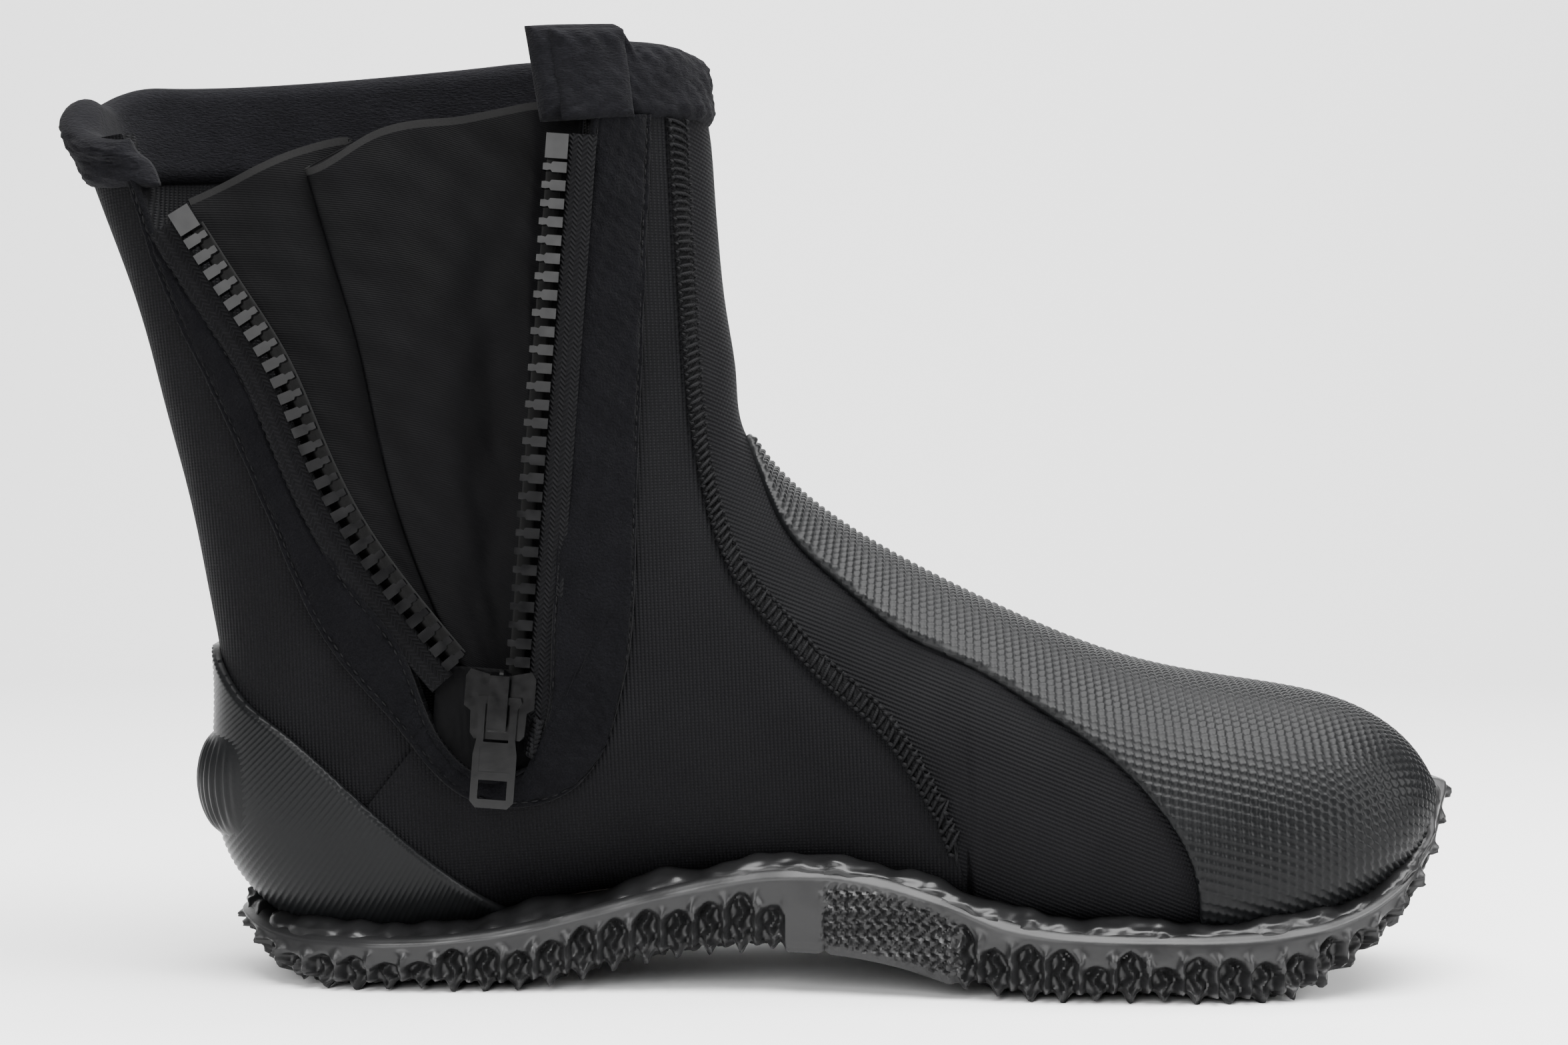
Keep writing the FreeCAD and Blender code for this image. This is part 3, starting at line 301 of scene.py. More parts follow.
def wobble(points, size, seed, waves=7):
    """Smooth seeded noise of about unit height, with this wavelength in mm."""
    rng = np.random.default_rng(seed)
    total = np.zeros(points.shape[:-1])
    for _ in range(waves):
        direction = rng.normal(size=3)
        direction *= 2 * math.pi / (np.linalg.norm(direction) * size * rng.uniform(0.7, 1.5))
        total += np.sin(points @ direction + rng.uniform(0, 2 * math.pi))
    return total / math.sqrt(waves)


def smoothstep(low, high, value):
    t = np.clip((value - low) / (high - low), 0, 1)
    return t * t * (3 - 2 * t)


def grid_faces(rows, columns, start=0, closed=False, flip=False):
    """Quads of a grid of points numbered row by row."""
    wrap = columns if closed else columns - 1
    i, j = np.meshgrid(np.arange(rows - 1), np.arange(wrap), indexing="ij")
    k = (j + 1) % columns
    quads = np.stack([i * columns + j, i * columns + k, (i + 1) * columns + k, (i + 1) * columns + j], -1)
    quads = quads.reshape(-1, 4) + start
    return quads[:, ::-1] if flip else quads


def make_object(name, points, faces, material, weave=None, sharp=35.0, weld=0.0, second=None):
    """A mesh object from points in mm from the back point, kept for its material as well.

    Second is another material and which faces have it.
    """
    points = np.asarray(points, float).reshape(-1, 3)
    mesh = bpy.data.meshes.new(name)
    row = (points - (HEEL_POINT, 0, 0)) / 1000
    mesh.from_pydata(row.tolist(), [], [list(map(int, face)) for face in faces])
    place = mesh.attributes.new("place_mm", "FLOAT_VECTOR", "POINT")
    place.data.foreach_set("vector", points.astype(np.float32).ravel())
    thread = mesh.attributes.new("weave_mm", "FLOAT_VECTOR", "POINT")
    thread.data.foreach_set("vector", (points if weave is None else weave).astype(np.float32).ravel())
    mesh.materials.append(material)
    if second is not None:
        mesh.materials.append(second[0])
        mesh.polygons.foreach_set("material_index", second[1].astype(np.int32))
    if weld:
        work = bmesh.new()
        work.from_mesh(mesh)
        bmesh.ops.remove_doubles(work, verts=work.verts, dist=weld / 1000)
        bmesh.ops.dissolve_degenerate(work, edges=work.edges, dist=1e-6)
        work.to_mesh(mesh)
        work.free()
    mesh.polygons.foreach_set("use_smooth", [True] * len(mesh.polygons))
    mesh.set_sharp_from_angle(angle=math.radians(sharp))
    thing = bpy.data.objects.new(name, mesh)
    bpy.context.scene.collection.objects.link(thing)
    return thing


def closer_ends(width, step, rounding, ends):
    """Fractions from 0 to 1, closer together at the rounded ends."""
    count = max(2, int(round(width / step)))
    places = list(np.linspace(0, 1, count + 1))
    if rounding:
        near = [rounding * f / width for f in (0.05, 0.18, 0.4, 0.7, 1.0)]
        places += [f for f in near if f < 0.5] if ends[0] else []
        places += [1 - f for f in near if f < 0.5] if ends[1] else []
    return np.unique(np.round(places, 5))


def measure(grid, axis):
    """Distance in mm along a grid of points, from its start."""
    steps = np.linalg.norm(np.diff(grid, axis=axis), axis=-1)
    pad = [(0, 0), (0, 0)]
    pad[axis] = (1, 0)
    return np.pad(np.cumsum(steps, axis=axis), pad)


def rim_walls(rows, columns):
    """Quads that join the borders of two grids, the second numbered after the first."""
    index = np.arange(rows * columns).reshape(rows, columns)
    walls = []
    for line, turned in ((index[0], True), (index[-1], False), (index[:, 0], False), (index[:, -1], True)):
        side = np.stack([line[:-1], line[1:], line[1:] + index.size, line[:-1] + index.size], -1)
        walls.append(side[:, ::-1] if turned else side)
    return walls


def slab(outer, inner):
    """Points and faces of a closed sheet between two grids."""
    rows, columns = outer.shape[:2]
    sheets = [grid_faces(rows, columns), grid_faces(rows, columns, rows * columns, flip=True)]
    points = np.concatenate([outer.reshape(-1, 3), inner.reshape(-1, 3)])
    return points, np.concatenate(sheets + rim_walls(rows, columns))


def paced(path, span, count=900):
    """Stations along a path on the skin, and how far along it each is in mm."""
    guide = np.linspace(span[0], span[1], count)
    return guide, measure(skin(guide, path(guide))[None], 1)[0]


def panel_grid(span, low, high, outer, inner, step, rounding=0.0, ends=(1, 1, 1, 1),
               relief=None, both=False, rise=None):
    """Two grids of a curved sheet of the upper, and its weave coordinates.

    Ends says which of its start, end, low and high edges are rounded over.
    """
    length = paced(lambda s: (low(s) + high(s)) / 2, span, 25)[1][-1]
    centre = (span[0] + span[1]) / 2
    across = skin(centre, np.linspace(float(low(centre)), float(high(centre)), 30))
    width = measure(across[None], 1)[0, -1]
    rows = closer_ends(length, step[0], rounding, ends[:2])
    columns = closer_ends(width, step[1], rounding, ends[2:])
    station = (span[0] + (span[1] - span[0]) * rows)[:, None]
    angle = low(station) + (high(station) - low(station)) * columns[None]
    here, normal = surface(station, angle)
    along, over = measure(here, 0), measure(here, 1)
    edge = np.full(along.shape, 1e6)
    for used, distance in zip(ends, (along, along[-1:] - along, over, over[:, -1:] - over)):
        if used:
            edge = np.minimum(edge, distance)
    ease = np.ones_like(edge)
    if rounding:
        ease = np.sqrt(1 - (1 - np.clip(edge / rounding, 0, 1)) ** 2)
    top = outer + (relief(here, along, over, edge) if relief else 0.0)
    base = (outer + inner) / 2 if both else inner
    high_face = base + (top - base) * ease
    low_face = base + (inner - base) * ease if both else np.full_like(edge, inner)
    lift = np.zeros_like(here)
    if rise is not None:
        share = (station - span[0]) / (span[1] - span[0])
        lift[..., 2] = rise(angle) * (0.3 + 0.7 * smoothstep(0.1, 1.0, share))
    faces = [here + normal * face[..., None] + lift for face in (high_face, low_face)]
    return *faces, np.stack([over, along, edge], -1)


def panels(name, material, pieces, sharp=35.0):
    """One object of one or more curved sheets."""
    points, faces, weaves, count = [], [], [], 0
    for piece in pieces:
        outer, inner, weave = panel_grid(**piece)
        some, quads = slab(outer, inner)
        points.append(some)
        faces.append(quads + count)
        weaves += [weave.reshape(-1, 3)] * 2
        count += len(some)
    return make_object(name, np.concatenate(points), np.concatenate(faces), material,
                       weave=np.concatenate(weaves), sharp=sharp)


def stitches(name, starts, stops, normals, radius, height, material):
    """Short arched threads from each start to each stop, as one object."""
    rings, sides = 6, 6
    starts, stops, normals = (np.asarray(a, float) for a in (starts, stops, normals))
    along = stops - starts
    across = np.cross(along, normals)
    across /= np.maximum(np.linalg.norm(across, axis=1, keepdims=True), 1e-9)
    t = np.linspace(0, 1, rings)
    turn = np.arange(sides) * 2 * math.pi / sides
    thick = radius * np.sqrt(1 - (2 * t - 1) ** 2 * 0.85)
    spine = starts[:, None] + along[:, None] * t[None, :, None]
    spine = spine + normals[:, None] * (height * np.sin(math.pi * t))[None, :, None]
    ring = (across[:, None, None] * (thick[:, None] * np.cos(turn))[None, ..., None]
            + normals[:, None, None] * (thick[:, None] * np.sin(turn))[None, ..., None])
    points = spine[:, :, None] + ring
    one = grid_faces(rings, sides, closed=True)
    caps = [list(range(sides)), list(range((rings - 1) * sides, rings * sides))]
    faces = []
    for i in range(len(starts)):
        base = i * rings * sides
        faces += (one + base).tolist()
        faces += [[v + base for v in reversed(caps[0])], [v + base for v in caps[1]]]
    return make_object(name, points, faces, material, sharp=80)


def settle(thing, slot, *nodes):
    """Fixes a piece to the boot's body, in place of these CAD nodes if any; the slot is not used."""
    if nodes:
        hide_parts(*nodes)
    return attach(thing, "root")


# ---------------------------------------------------------------- materials

class Look:
    """A node material with short calls for what these surfaces need."""

    def __init__(self, name, colour, roughness, sheen=0.0, specular=0.5):
        self.material = bpy.data.materials.new(name)
        self.material.use_nodes = True
        self.tree = self.material.node_tree
        self.shader = self.tree.nodes["Principled BSDF"]
        self.shader.inputs["Base Color"].default_value = (*colour, 1)
        self.shader.inputs["Roughness"].default_value = roughness
        self.shader.inputs["Sheen Weight"].default_value = sheen
        self.shader.inputs["Sheen Roughness"].default_value = 0.5
        self.shader.inputs["Specular IOR Level"].default_value = specular
        self.colour = colour
        self.last_bump = None

    def node(self, kind, **inputs):
        node = self.tree.nodes.new(kind)
        for key, value in inputs.items():
            if hasattr(value, "links"):
                self.tree.links.new(value, node.inputs[key])
            else:
                node.inputs[key].default_value = value
        return node

    def attribute(self, name):
        node = self.tree.nodes.new("ShaderNodeAttribute")
        node.attribute_name = name
        return node.outputs["Vector"]

    def math(self, operation, a, b=0.0):
        node = self.tree.nodes.new("ShaderNodeMath")
        node.operation = operation
        for socket, value in zip(node.inputs, (a, b)):
            if hasattr(value, "links"):
                self.tree.links.new(value, socket)
            else:
                socket.default_value = value
        return node.outputs[0]

    def direction(self, name, vector):
        """How far along this direction a point of the named attribute lies, in mm."""
        node = self.tree.nodes.new("ShaderNodeVectorMath")
        node.operation = "DOT_PRODUCT"
        self.tree.links.new(self.attribute(name), node.inputs[0])
        node.inputs[1].default_value = vector
        return node.outputs["Value"]

    def wave(self, distance, pitch):
        """A wave from 0 to 1 along a distance."""
        sine = self.math("SINE", self.math("MULTIPLY", distance, 2 * math.pi / pitch))
        return self.math("ADD", self.math("MULTIPLY", sine, 0.5), 0.5)

    def noise(self, size, detail=3.0, name="place_mm", stretch=None):
        """Noise of about this grain in mm."""
        vector = self.attribute(name)
        if stretch:
            node = self.tree.nodes.new("ShaderNodeVectorMath")
            node.operation = "MULTIPLY"
            self.tree.links.new(vector, node.inputs[0])
            node.inputs[1].default_value = stretch
            vector = node.outputs[0]
        return self.node("ShaderNodeTexNoise", Vector=vector, Scale=1 / size, Detail=detail).outputs["Fac"]

    def bump(self, height, strength, distance):
        node = self.node("ShaderNodeBump", Strength=strength, Distance=distance / 1000, Height=height)
        if self.last_bump is not None:
            self.tree.links.new(self.last_bump, node.inputs["Normal"])
        self.last_bump = node.outputs["Normal"]
        self.tree.links.new(self.last_bump, self.shader.inputs["Normal"])

    def tint(self, factor, low, high):
        """Colour from low to high times the base, by a factor from 0 to 1."""
        ramp = self.tree.nodes.new("ShaderNodeValToRGB")
        for element, share in zip(ramp.color_ramp.elements, (low, high)):
            element.color = (*[c * share for c in self.colour], 1)
        self.tree.links.new(factor, ramp.inputs["Fac"])
        self.tree.links.new(ramp.outputs["Color"], self.shader.inputs["Base Color"])

    def gloss(self, factor, low, high):
        """Roughness from low to high, by a factor from 0 to 1."""
        spread = self.node("ShaderNodeMapRange", Value=factor)
        spread.inputs["To Min"].default_value = low
        spread.inputs["To Max"].default_value = high
        self.tree.links.new(spread.outputs["Result"], self.shader.inputs["Roughness"])


def knit(name, ribs, pitch=0.85, rows=None):
    """Ribbed jersey: ribs across one direction of the boot, and fine stitches along them."""
    look = Look(name, (0.0021, 0.0021, 0.0025), 0.75, specular=0.07)
    distance = look.direction("place_mm", ribs)
    wave = look.wave(distance, pitch)
    other = look.wave(look.direction("place_mm", rows or (-ribs[2], 0.0, ribs[0])), pitch * 0.8)
    look.bump(look.math("MULTIPLY", wave, look.math("ADD", other, 1.2)), 0.75, 0.16)
    look.bump(look.noise(0.35, 2.0), 0.3, 0.1)
    look.tint(look.math("MULTIPLY", look.math("ADD", wave, look.noise(14.0, 4.0)), 0.55), 0.55, 1.7)
    look.gloss(look.noise(22.0, 3.0), 0.6, 0.85)
    return look.material


def plush(name, colour=(0.0013, 0.0013, 0.0016), stretch=(1.0, 1.0, 1.0)):
    """Short pile in patches, with paler fibre tips."""
    look = Look(name, colour, 0.95, sheen=0.02, specular=0.04)
    nap = look.noise(0.55, 4.0, stretch=stretch)
    patches = look.noise(9.0, 3.0)
    look.bump(nap, 0.9, 0.45)
    look.bump(patches, 0.4, 0.8)
    fibres = look.math("POWER", look.noise(0.3, 2.0, stretch=stretch), 3.0)
    look.tint(look.math("ADD", fibres, look.math("MULTIPLY", look.math("ADD", nap, patches), 0.3)), 0.2, 4.0)
    return look.material


def rubber(name, colour, roughness, grain=0.9, specular=0.2, streaks=False):
    look = Look(name, colour, roughness, specular=specular)
    cloud = look.noise(16.0, 5.0)
    fine = look.noise(grain, 3.0)
    look.bump(fine, 0.35, 0.12)
    if streaks:
        look.bump(look.noise(4.5, 1.0, stretch=(0.5, 0.5, 1.3)), 0.3, 0.6)
    mottle = look.math("ADD", look.math("MULTIPLY", cloud, 0.7), look.math("MULTIPLY", fine, 0.3))
    look.tint(mottle, 0.62, 1.5)
    look.gloss(cloud, roughness - 0.08, roughness + 0.12)
    return look.material


def thread(name, colour, pitch=0.5):
    look = Look(name, colour, 0.7, specular=0.1)
    look.bump(look.wave(look.direction("place_mm", (0.6, 0.3, 0.75)), pitch), 0.5, 0.12)
    look.tint(look.noise(1.6, 2.0), 0.5, 1.6)
    return look.material


def woven(name, colour, pitch=1.1):
    """Herringbone cloth, its zigzag running along the weave."""
    look = Look(name, colour, 0.75, specular=0.08)
    across, along = look.direction("weave_mm", (1, 0, 0)), look.direction("weave_mm", (0, 1, 0))
    zig = look.math("PINGPONG", across, pitch)
    rib = look.wave(look.math("ADD", along, zig), pitch)
    look.bump(rib, 0.9, 0.3)
    look.tint(look.math("MULTIPLY", look.math("ADD", rib, look.noise(2.0, 3.0)), 0.5), 0.4, 1.7)
    return look.material


def plastic(name, colour, roughness, specular):
    look = Look(name, colour, roughness, specular=specular)
    cloud = look.node("ShaderNodeTexNoise", Vector=look.node("ShaderNodeTexCoord").outputs["Object"],
                      Scale=300.0, Detail=3.0).outputs["Fac"]
    look.bump(cloud, 0.12, 0.08)
    look.tint(cloud, 0.7, 1.4)
    look.gloss(cloud, max(roughness - 0.08, 0.05), roughness + 0.14)
    return look.material


def nylon(name):
    """The gusset's smooth cloth face, with fine rows and a soft broken sheen."""
    look = Look(name, (0.001, 0.001, 0.0012), 0.6, specular=0.05)
    row = look.wave(look.direction("weave_mm", (0.35, 1, 0)), 0.6)
    look.bump(row, 0.4, 0.1)
    look.bump(look.noise(7.0, 4.0, name="weave_mm", stretch=(1.0, 0.3, 1.0)), 0.35, 1.2)
    look.tint(look.noise(12.0, 4.0, name="weave_mm", stretch=(1.0, 0.25, 1.0)), 0.35, 2.0)
    return look.material


RIBS_UP = knit("jersey_upright", (1.0, 0.0, 0.05))
RIBS_SLANT = knit("jersey_slanted", (0.36, 0.0, 0.93))
PLUSH = plush("plush_strip")
FLEECE = plush("plush_binding", (0.0026, 0.0026, 0.0031), stretch=(0.45, 0.45, 1.5))
CAP = rubber("cap_rubber", (0.0034, 0.0036, 0.0039), 0.34, specular=0.12)
SOLE = rubber("sole_rubber", (0.007, 0.007, 0.0073), 0.36, grain=1.4, specular=0.3)
BAND = rubber("band_rubber", (0.007, 0.007, 0.0073), 0.3, grain=1.6, specular=0.3, streaks=True)
THREAD = thread("seam_thread", (0.0028, 0.0028, 0.0032))
TAPE = woven("zip_tape", (0.0026, 0.0026, 0.003))
NYLON = nylon("gusset_nylon")
FOAM = rubber("cut_foam_edge", (0.009, 0.009, 0.009), 0.85, grain=0.5, specular=0.05)
TEETH = plastic("zip_plastic", (0.0008, 0.0008, 0.001), 0.16, 0.2)
METAL = plastic("slider_lacquer", (0.0006, 0.0006, 0.0007), 0.12, 0.3)
BOARD = rubber("fibre_board", (0.05, 0.045, 0.04), 0.9, grain=0.4)
FOOTBED = woven("insole_cloth", (0.004, 0.004, 0.0045), 1.4)


# ---------------------------------------------------------------- neoprene panels

WALL = 5.0


def soft_swell(seed, height=0.35, size=38.0):
    """Slight unevenness of a soft panel."""
    return lambda here, along, over, edge: height * wobble(here, size, seed) * smoothstep(0, 12, edge)


def make_neoprene():
    """The four ribbed panels; the rear one lies between the back seam and the zip's rear row."""
    def vamp_low(station):
        return -np.where(station < SEAM_FOOT, wall_end(station), lateral_seam(station))

    def vamp_high(station):
        return np.where(station < SEAM_FOOT, wall_end(station), medial_seam(station))

    def foam(span, low, high, step, relief, ends=(1, 1, 1, 1)):
        return dict(span=span, low=low, high=high, step=step, relief=relief, ends=ends, outer=0.0,
                    inner=-WALL)

    def tucked_swell(here, along, over, edge):
        """The rear panel's unevenness, its lower end drawn in under the fixed one."""
        tuck = 1.2 * (1 - smoothstep(FLAP_START - 2, FLAP_START + 8, locate_station(here)))
        return soft_swell(2)(here, along, over, edge) - tuck

    settle(panels("vamp_panel_jersey", RIBS_SLANT, [
        foam((TOE, PANEL_TOP), vamp_low, vamp_high, (1.6, 1.8), soft_swell(1))]), "neoprene", "vamp_panel")
    settle(panels("medial_quarter_jersey", RIBS_UP, [
        foam((SEAM_FOOT, SLOT), medial_seam, wall_end, (1.6, 1.8), soft_swell(2), (0, 0, 1, 1)),
        foam((SLOT, PANEL_TOP), medial_seam, slot_front, (1.8, 1.6), soft_swell(2), (0, 0, 1, 1)),
        foam((SLOT, FLAP_START + 2), slot_rear, wall_end, (1.6, 1.8), soft_swell(2), (0, 0, 1, 1))]),
        "neoprene", "medial_quarter")
    settle(panels("lateral_quarter_jersey", RIBS_UP, [
        foam((SEAM_FOOT, PANEL_TOP), mirror(wall_end), mirror(lateral_seam), (1.8, 1.8), soft_swell(3))]),
        "neoprene", "lateral_quarter")
    rear = panels("rear_quarter_jersey", RIBS_UP, [
        foam((SLOT + 4, PANEL_TOP), slot_rear, wall_end, (1.8, 1.6), tucked_swell, (1, 0, 1, 1))])
    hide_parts("rear_flap")
    bend_with_flap(rear)


def locate_station(points):
    """Stations of points that lie on the skin."""
    flat = points.reshape(-1, 3)
    return locate(flat[:, 0], flat[:, 2])[0].reshape(points.shape[:-1])


def bend_with_flap(thing):
    """Bakes a piece's transform into its mesh; the piece is not bent and is attached to no body."""
    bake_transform(thing)


# ---------------------------------------------------------------- rubber caps

CAP_THICK, CAP_HEM, CAP_BORDER = 1.8, 0.15, 1.2     # skin, its edge's foot, and the smooth border


def lattice(name, material, span, centre, low, high, path, pitch, amplitude, ribs=False):
    """A rubber skin with rows of small pyramids, or of ribs, counted out from a middle line."""
    step = pitch / 3
    guide, run = paced(path, span, 600)
    stations = np.interp(np.arange(0, run[-1], step), run, guide)
    stations = np.append(stations, span[1])
    sides = []
    share = np.linspace(0, 1, 240)
    for limit in (low, high):
        angle = centre + (limit(stations)[:, None] - centre) * share
        arc = measure(skin(stations[:, None], angle), 1)
        count = int(arc[:, -1].max() / step) + 2
        reach = np.minimum(np.arange(count) * step, arc[:, -1:])
        found = np.array([np.interp(r, a, g) for r, a, g in zip(reach, arc, angle)])
        sides.append((found, reach, arc[:, -1:] - reach))
    (found_a, reach_a, left_a), (found_b, reach_b, left_b) = sides
    angle = np.concatenate([found_a[:, :0:-1], found_b], 1)
    number = np.concatenate([np.arange(found_a.shape[1] - 1, 0, -1), np.arange(found_b.shape[1])])
    left = np.concatenate([left_a[:, :0:-1], left_b], 1)
    over = np.concatenate([-reach_a[:, :0:-1], reach_b], 1)
    here, normal = surface(stations[:, None], angle)
    along = measure(here, 0)
    ends = np.minimum(along, along[-1:] - along)
    fade = smoothstep(0.2, CAP_BORDER, left) * smoothstep(0.2, CAP_BORDER, ends)
    row = np.arange(len(stations))[:, None]
    raised = ((row % 3) != 0) & (((number[None] % 3) != 0) | ribs)
    height = CAP_THICK + amplitude * raised * fade
    height = height - 0.5 * (1 - smoothstep(0.0, 0.8, np.minimum(left, ends)))
    rows, columns = height.shape
    faces = np.concatenate([grid_faces(rows, columns)] + rim_walls(rows, columns))
    used = np.unique(faces)
    points = np.concatenate([(here + normal * height[..., None]).reshape(-1, 3),
                             (here + normal * CAP_HEM).reshape(-1, 3)])
    weave = np.concatenate([np.stack([over, along + 0 * over, left], -1).reshape(-1, 3)] * 2)
    renumber = np.full(len(points), -1)
    renumber[used] = np.arange(len(used))
    return make_object(name, points[used], renumber[faces], material, weave=weave[used], sharp=75, weld=0.02)


def make_caps():
    """The toe cap's pyramids and the heel cap's ribs."""
    toe = lattice("toe_cap_rubber", CAP, (TOE + 0.5, TOE_TIP - 0.5), 0.0, mirror(toe_lateral), toe_medial,
                  level(0.7), 1.9, 0.55)
    settle(toe, "cap_rubber", "toe_cap")

    def heel_low(station):
        return np.minimum(heel_medial(station), math.pi - 0.02)

    def heel_high(station):
        return 2 * math.pi - np.minimum(heel_lateral(station), math.pi - 0.02)

    heel = lattice("heel_cap_rubber", CAP, (HEEL_FOOT + 2, HEEL_TOP - 0.3), math.pi, heel_low, heel_high,
                   lambda s: 0.5 * (heel_low(s) + math.pi), 1.4, 0.24, ribs=True)
    settle(heel, "cap_rubber", "heel_cap")


LUG_Z = (32.0, 55.0)
LUG_WRAP, LUG_REACH = 12.0, 4.3      # how far round the heel it runs, and how far it stands out


def make_lug():
    """The rounded ribbed ledge across the back of the heel."""
    rows, columns = 46, 120
    back_x, back_z = section(np.linspace(HEEL - 10, RIM, 400))[2:4]
    z = np.linspace(*LUG_Z, rows)[:, None]
    across = np.linspace(-1, 1, columns)[None]
    x, z = np.broadcast_arrays(np.interp(z, back_z, back_x) + LUG_WRAP * across ** 2, z)
    stations, angles = zip(*[locate(x.ravel(), z.ravel(), lateral) for lateral in (False, True)])
    on_lateral = (across + 0 * z).ravel() > 0
    station = np.where(on_lateral, stations[1], stations[0]).reshape(x.shape)
    angle = np.where(on_lateral, 2 * math.pi - angles[1], angles[0]).reshape(x.shape)
    here, normal = surface(station, angle)
    up = np.sin(math.pi * np.linspace(0, 1, rows)[:, None]) ** 0.6
    ends = (1 - np.abs(across) ** 2) ** 1.1
    ribs = 0.35 * np.sin(2 * math.pi * measure(here, 1) / 2.2) * smoothstep(0.2, 0.6, up * ends)
    height = 1.3 + (LUG_REACH * up * ends + ribs)
    points, faces = slab(here + normal * height[..., None], here + normal * 0.8)
    lug = make_object("fin_strap_lug_rubber", points, faces, CAP, sharp=60)
    settle(lug, "cap_rubber", "fin_strap_lug")


# ---------------------------------------------------------------- plush strips, collar and seams

PLUSH_THICK = 1.6
BINDING_OUT, BINDING_IN = 1.8, -7.0     # the binding's faces, from the neoprene's outer face
FLATLOCK_HALF, TAPE_HALF = 2.3, 2.0     # half widths of the sewn bands


def strip_relief(here, along, over, edge):
    """Plush pile, with a stitched groove just inside the edge."""
    groove = np.exp(-((edge - 1.5) / 0.35) ** 2)
    return 0.16 * wobble(here, 2.2, 11) + 0.2 * wobble(here, 12, 12) - 0.5 * groove


def make_placket():
    """The plush strip round the opening: the fixed front and bottom, and the rear one."""
    def strip(span, low, high, step, ends=(0, 0, 1, 1)):
        return dict(span=span, low=low, high=high, step=step, ends=ends, outer=PLUSH_THICK, inner=0.05,
                    rounding=0.9, relief=strip_relief)

    settle(panels("zip_placket_plush", PLUSH, [
        strip((SLOT, SEAM_TOP), placket_front, slot_front, (0.9, 0.7)),
        strip((PLACKET_START + 0.3, SLOT), placket_front, placket_rear, (0.7, 0.7)),
        strip((SLOT, FLAP_START + 3), slot_rear, placket_rear, (0.7, 0.7))]),
        "plush", "zip_placket_front", "zip_placket_bottom")
    rear = panels("zip_placket_rear_plush", PLUSH, [
        strip((FLAP_START + 1.5, SEAM_TOP), slot_rear, placket_rear, (0.9, 0.7), (1, 0, 1, 1))])
    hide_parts("zip_placket_rear")
    bend_with_flap(rear)


def fleece_relief(here, along, over, edge):
    """The binding's deeper pile and soft dents."""
    return 0.28 * wobble(here, 2.6, 21) + 0.4 * wobble(here, 9, 22) + 0.35 * wobble(here, 30, 23)


def make_collar():
    """The plush binding: the fixed ring, the rear end, and the front end's fold."""
    front_end = float(slot_front(COLLAR)) + 0.19       # the ring's cut end, past the opening's front edge
    flap_from = float(slot_rear(COLLAR))

    def block_rise(angle):
        """The near front block stands higher at its cut end, and so does the lateral side's back."""
        tall = smoothstep(front_end - 0.44, front_end - 0.36, angle) * 3.8
        far = smoothstep(-math.pi, -2.5, angle) * (1 - smoothstep(-1.3, -0.3, angle)) * 6.5
        return tall + far - 1.8 * np.exp(-(angle / 0.35) ** 2)

    def flap_rise(angle):
        """The rear end sags towards the opening."""
        return -13.0 * (1 - smoothstep(flap_from - 0.1, flap_from + 0.55, angle))

    common = dict(outer=BINDING_OUT, inner=BINDING_IN, rounding=4.2, relief=fleece_relief, both=True)
    ring = panels("collar_binding_plush", FLEECE, [
        dict(span=(COLLAR, RIM), low=level(-math.pi), high=level(front_end), step=(0.9, 0.9),
             ends=(1, 1, 0, 1), rise=block_rise, **common)], sharp=70)
    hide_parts("collar_binding")
    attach(ring, "root")
    back = panels("collar_binding_rear_plush", FLEECE, [
        dict(span=(COLLAR, RIM), low=level(flap_from - 0.06), high=level(math.pi), step=(0.9, 0.9),
             ends=(1, 1, 1, 0), rise=flap_rise, **common)], sharp=70)
    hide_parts("collar_binding_rear")
    bend_with_flap(back)
    overlap = panels("collar_overlap_plush", FLEECE, [
        dict(span=(COLLAR - 0.6, RIM - 1.5), low=level(front_end - 0.38), high=level(front_end - 0.07),
             step=(0.9, 0.8), outer=3.3, inner=1.0, rounding=3.2, relief=fleece_relief,
             rise=block_rise)], sharp=70)
    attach(overlap, "root")


def along_seam(edge, span, pitch, sign=1.0):
    """Stations and angles at even distances along a seam."""
    guide, run = paced(lambda s: sign * edge(s), span)
    stations = np.interp(np.arange(pitch / 2, run[-1], pitch), run, guide)
    return stations, sign * edge(stations)


def lifted(station, angle, height):
    """Points this far out of the skin."""
    here, normal = surface(station, angle)
    return here + normal * height


def seam_threads(name, edge, sign, half, seed):
    """Slanted overlock stitches across a seam, with a running thread along each side."""
    rng = np.random.default_rng(seed)
    stations, angles = along_seam(edge, (SEAM_FOOT + 6, SEAM_TOP - 1.5), 1.8, sign)
    count = len(stations)
    reach = arc_gap(stations, angles, 1.0)
    spread = half * rng.uniform(0.85, 1.1, count)
    lean = 1.5 * rng.uniform(0.8, 1.2, count)
    starts = lifted(stations - lean, angles - spread * reach, 0.55)
    stops = lifted(stations + lean * 0.6, angles + spread * reach, 0.45)
    normals = surface(stations, angles)[1]
    starts, stops = [starts], [stops]
    for side, height in ((-half, 0.6), (half, 0.5)):
        starts.append(lifted(stations - 0.9, angles + side * reach, height))
        stops.append(lifted(stations + 0.9, angles + side * 0.95 * reach, height))
    return stitches(name, np.concatenate(starts), np.concatenate(stops),
                    np.concatenate([normals] * 3), 0.46, 0.75, THREAD)


def pucker(here, along, over, edge):
    """The raised, gathered cloth under an overlocked seam."""
    return 0.28 * np.sin(2 * math.pi * (along + 0.5 * over) / 2.5) + 0.2 * wobble(here, 6, 31)


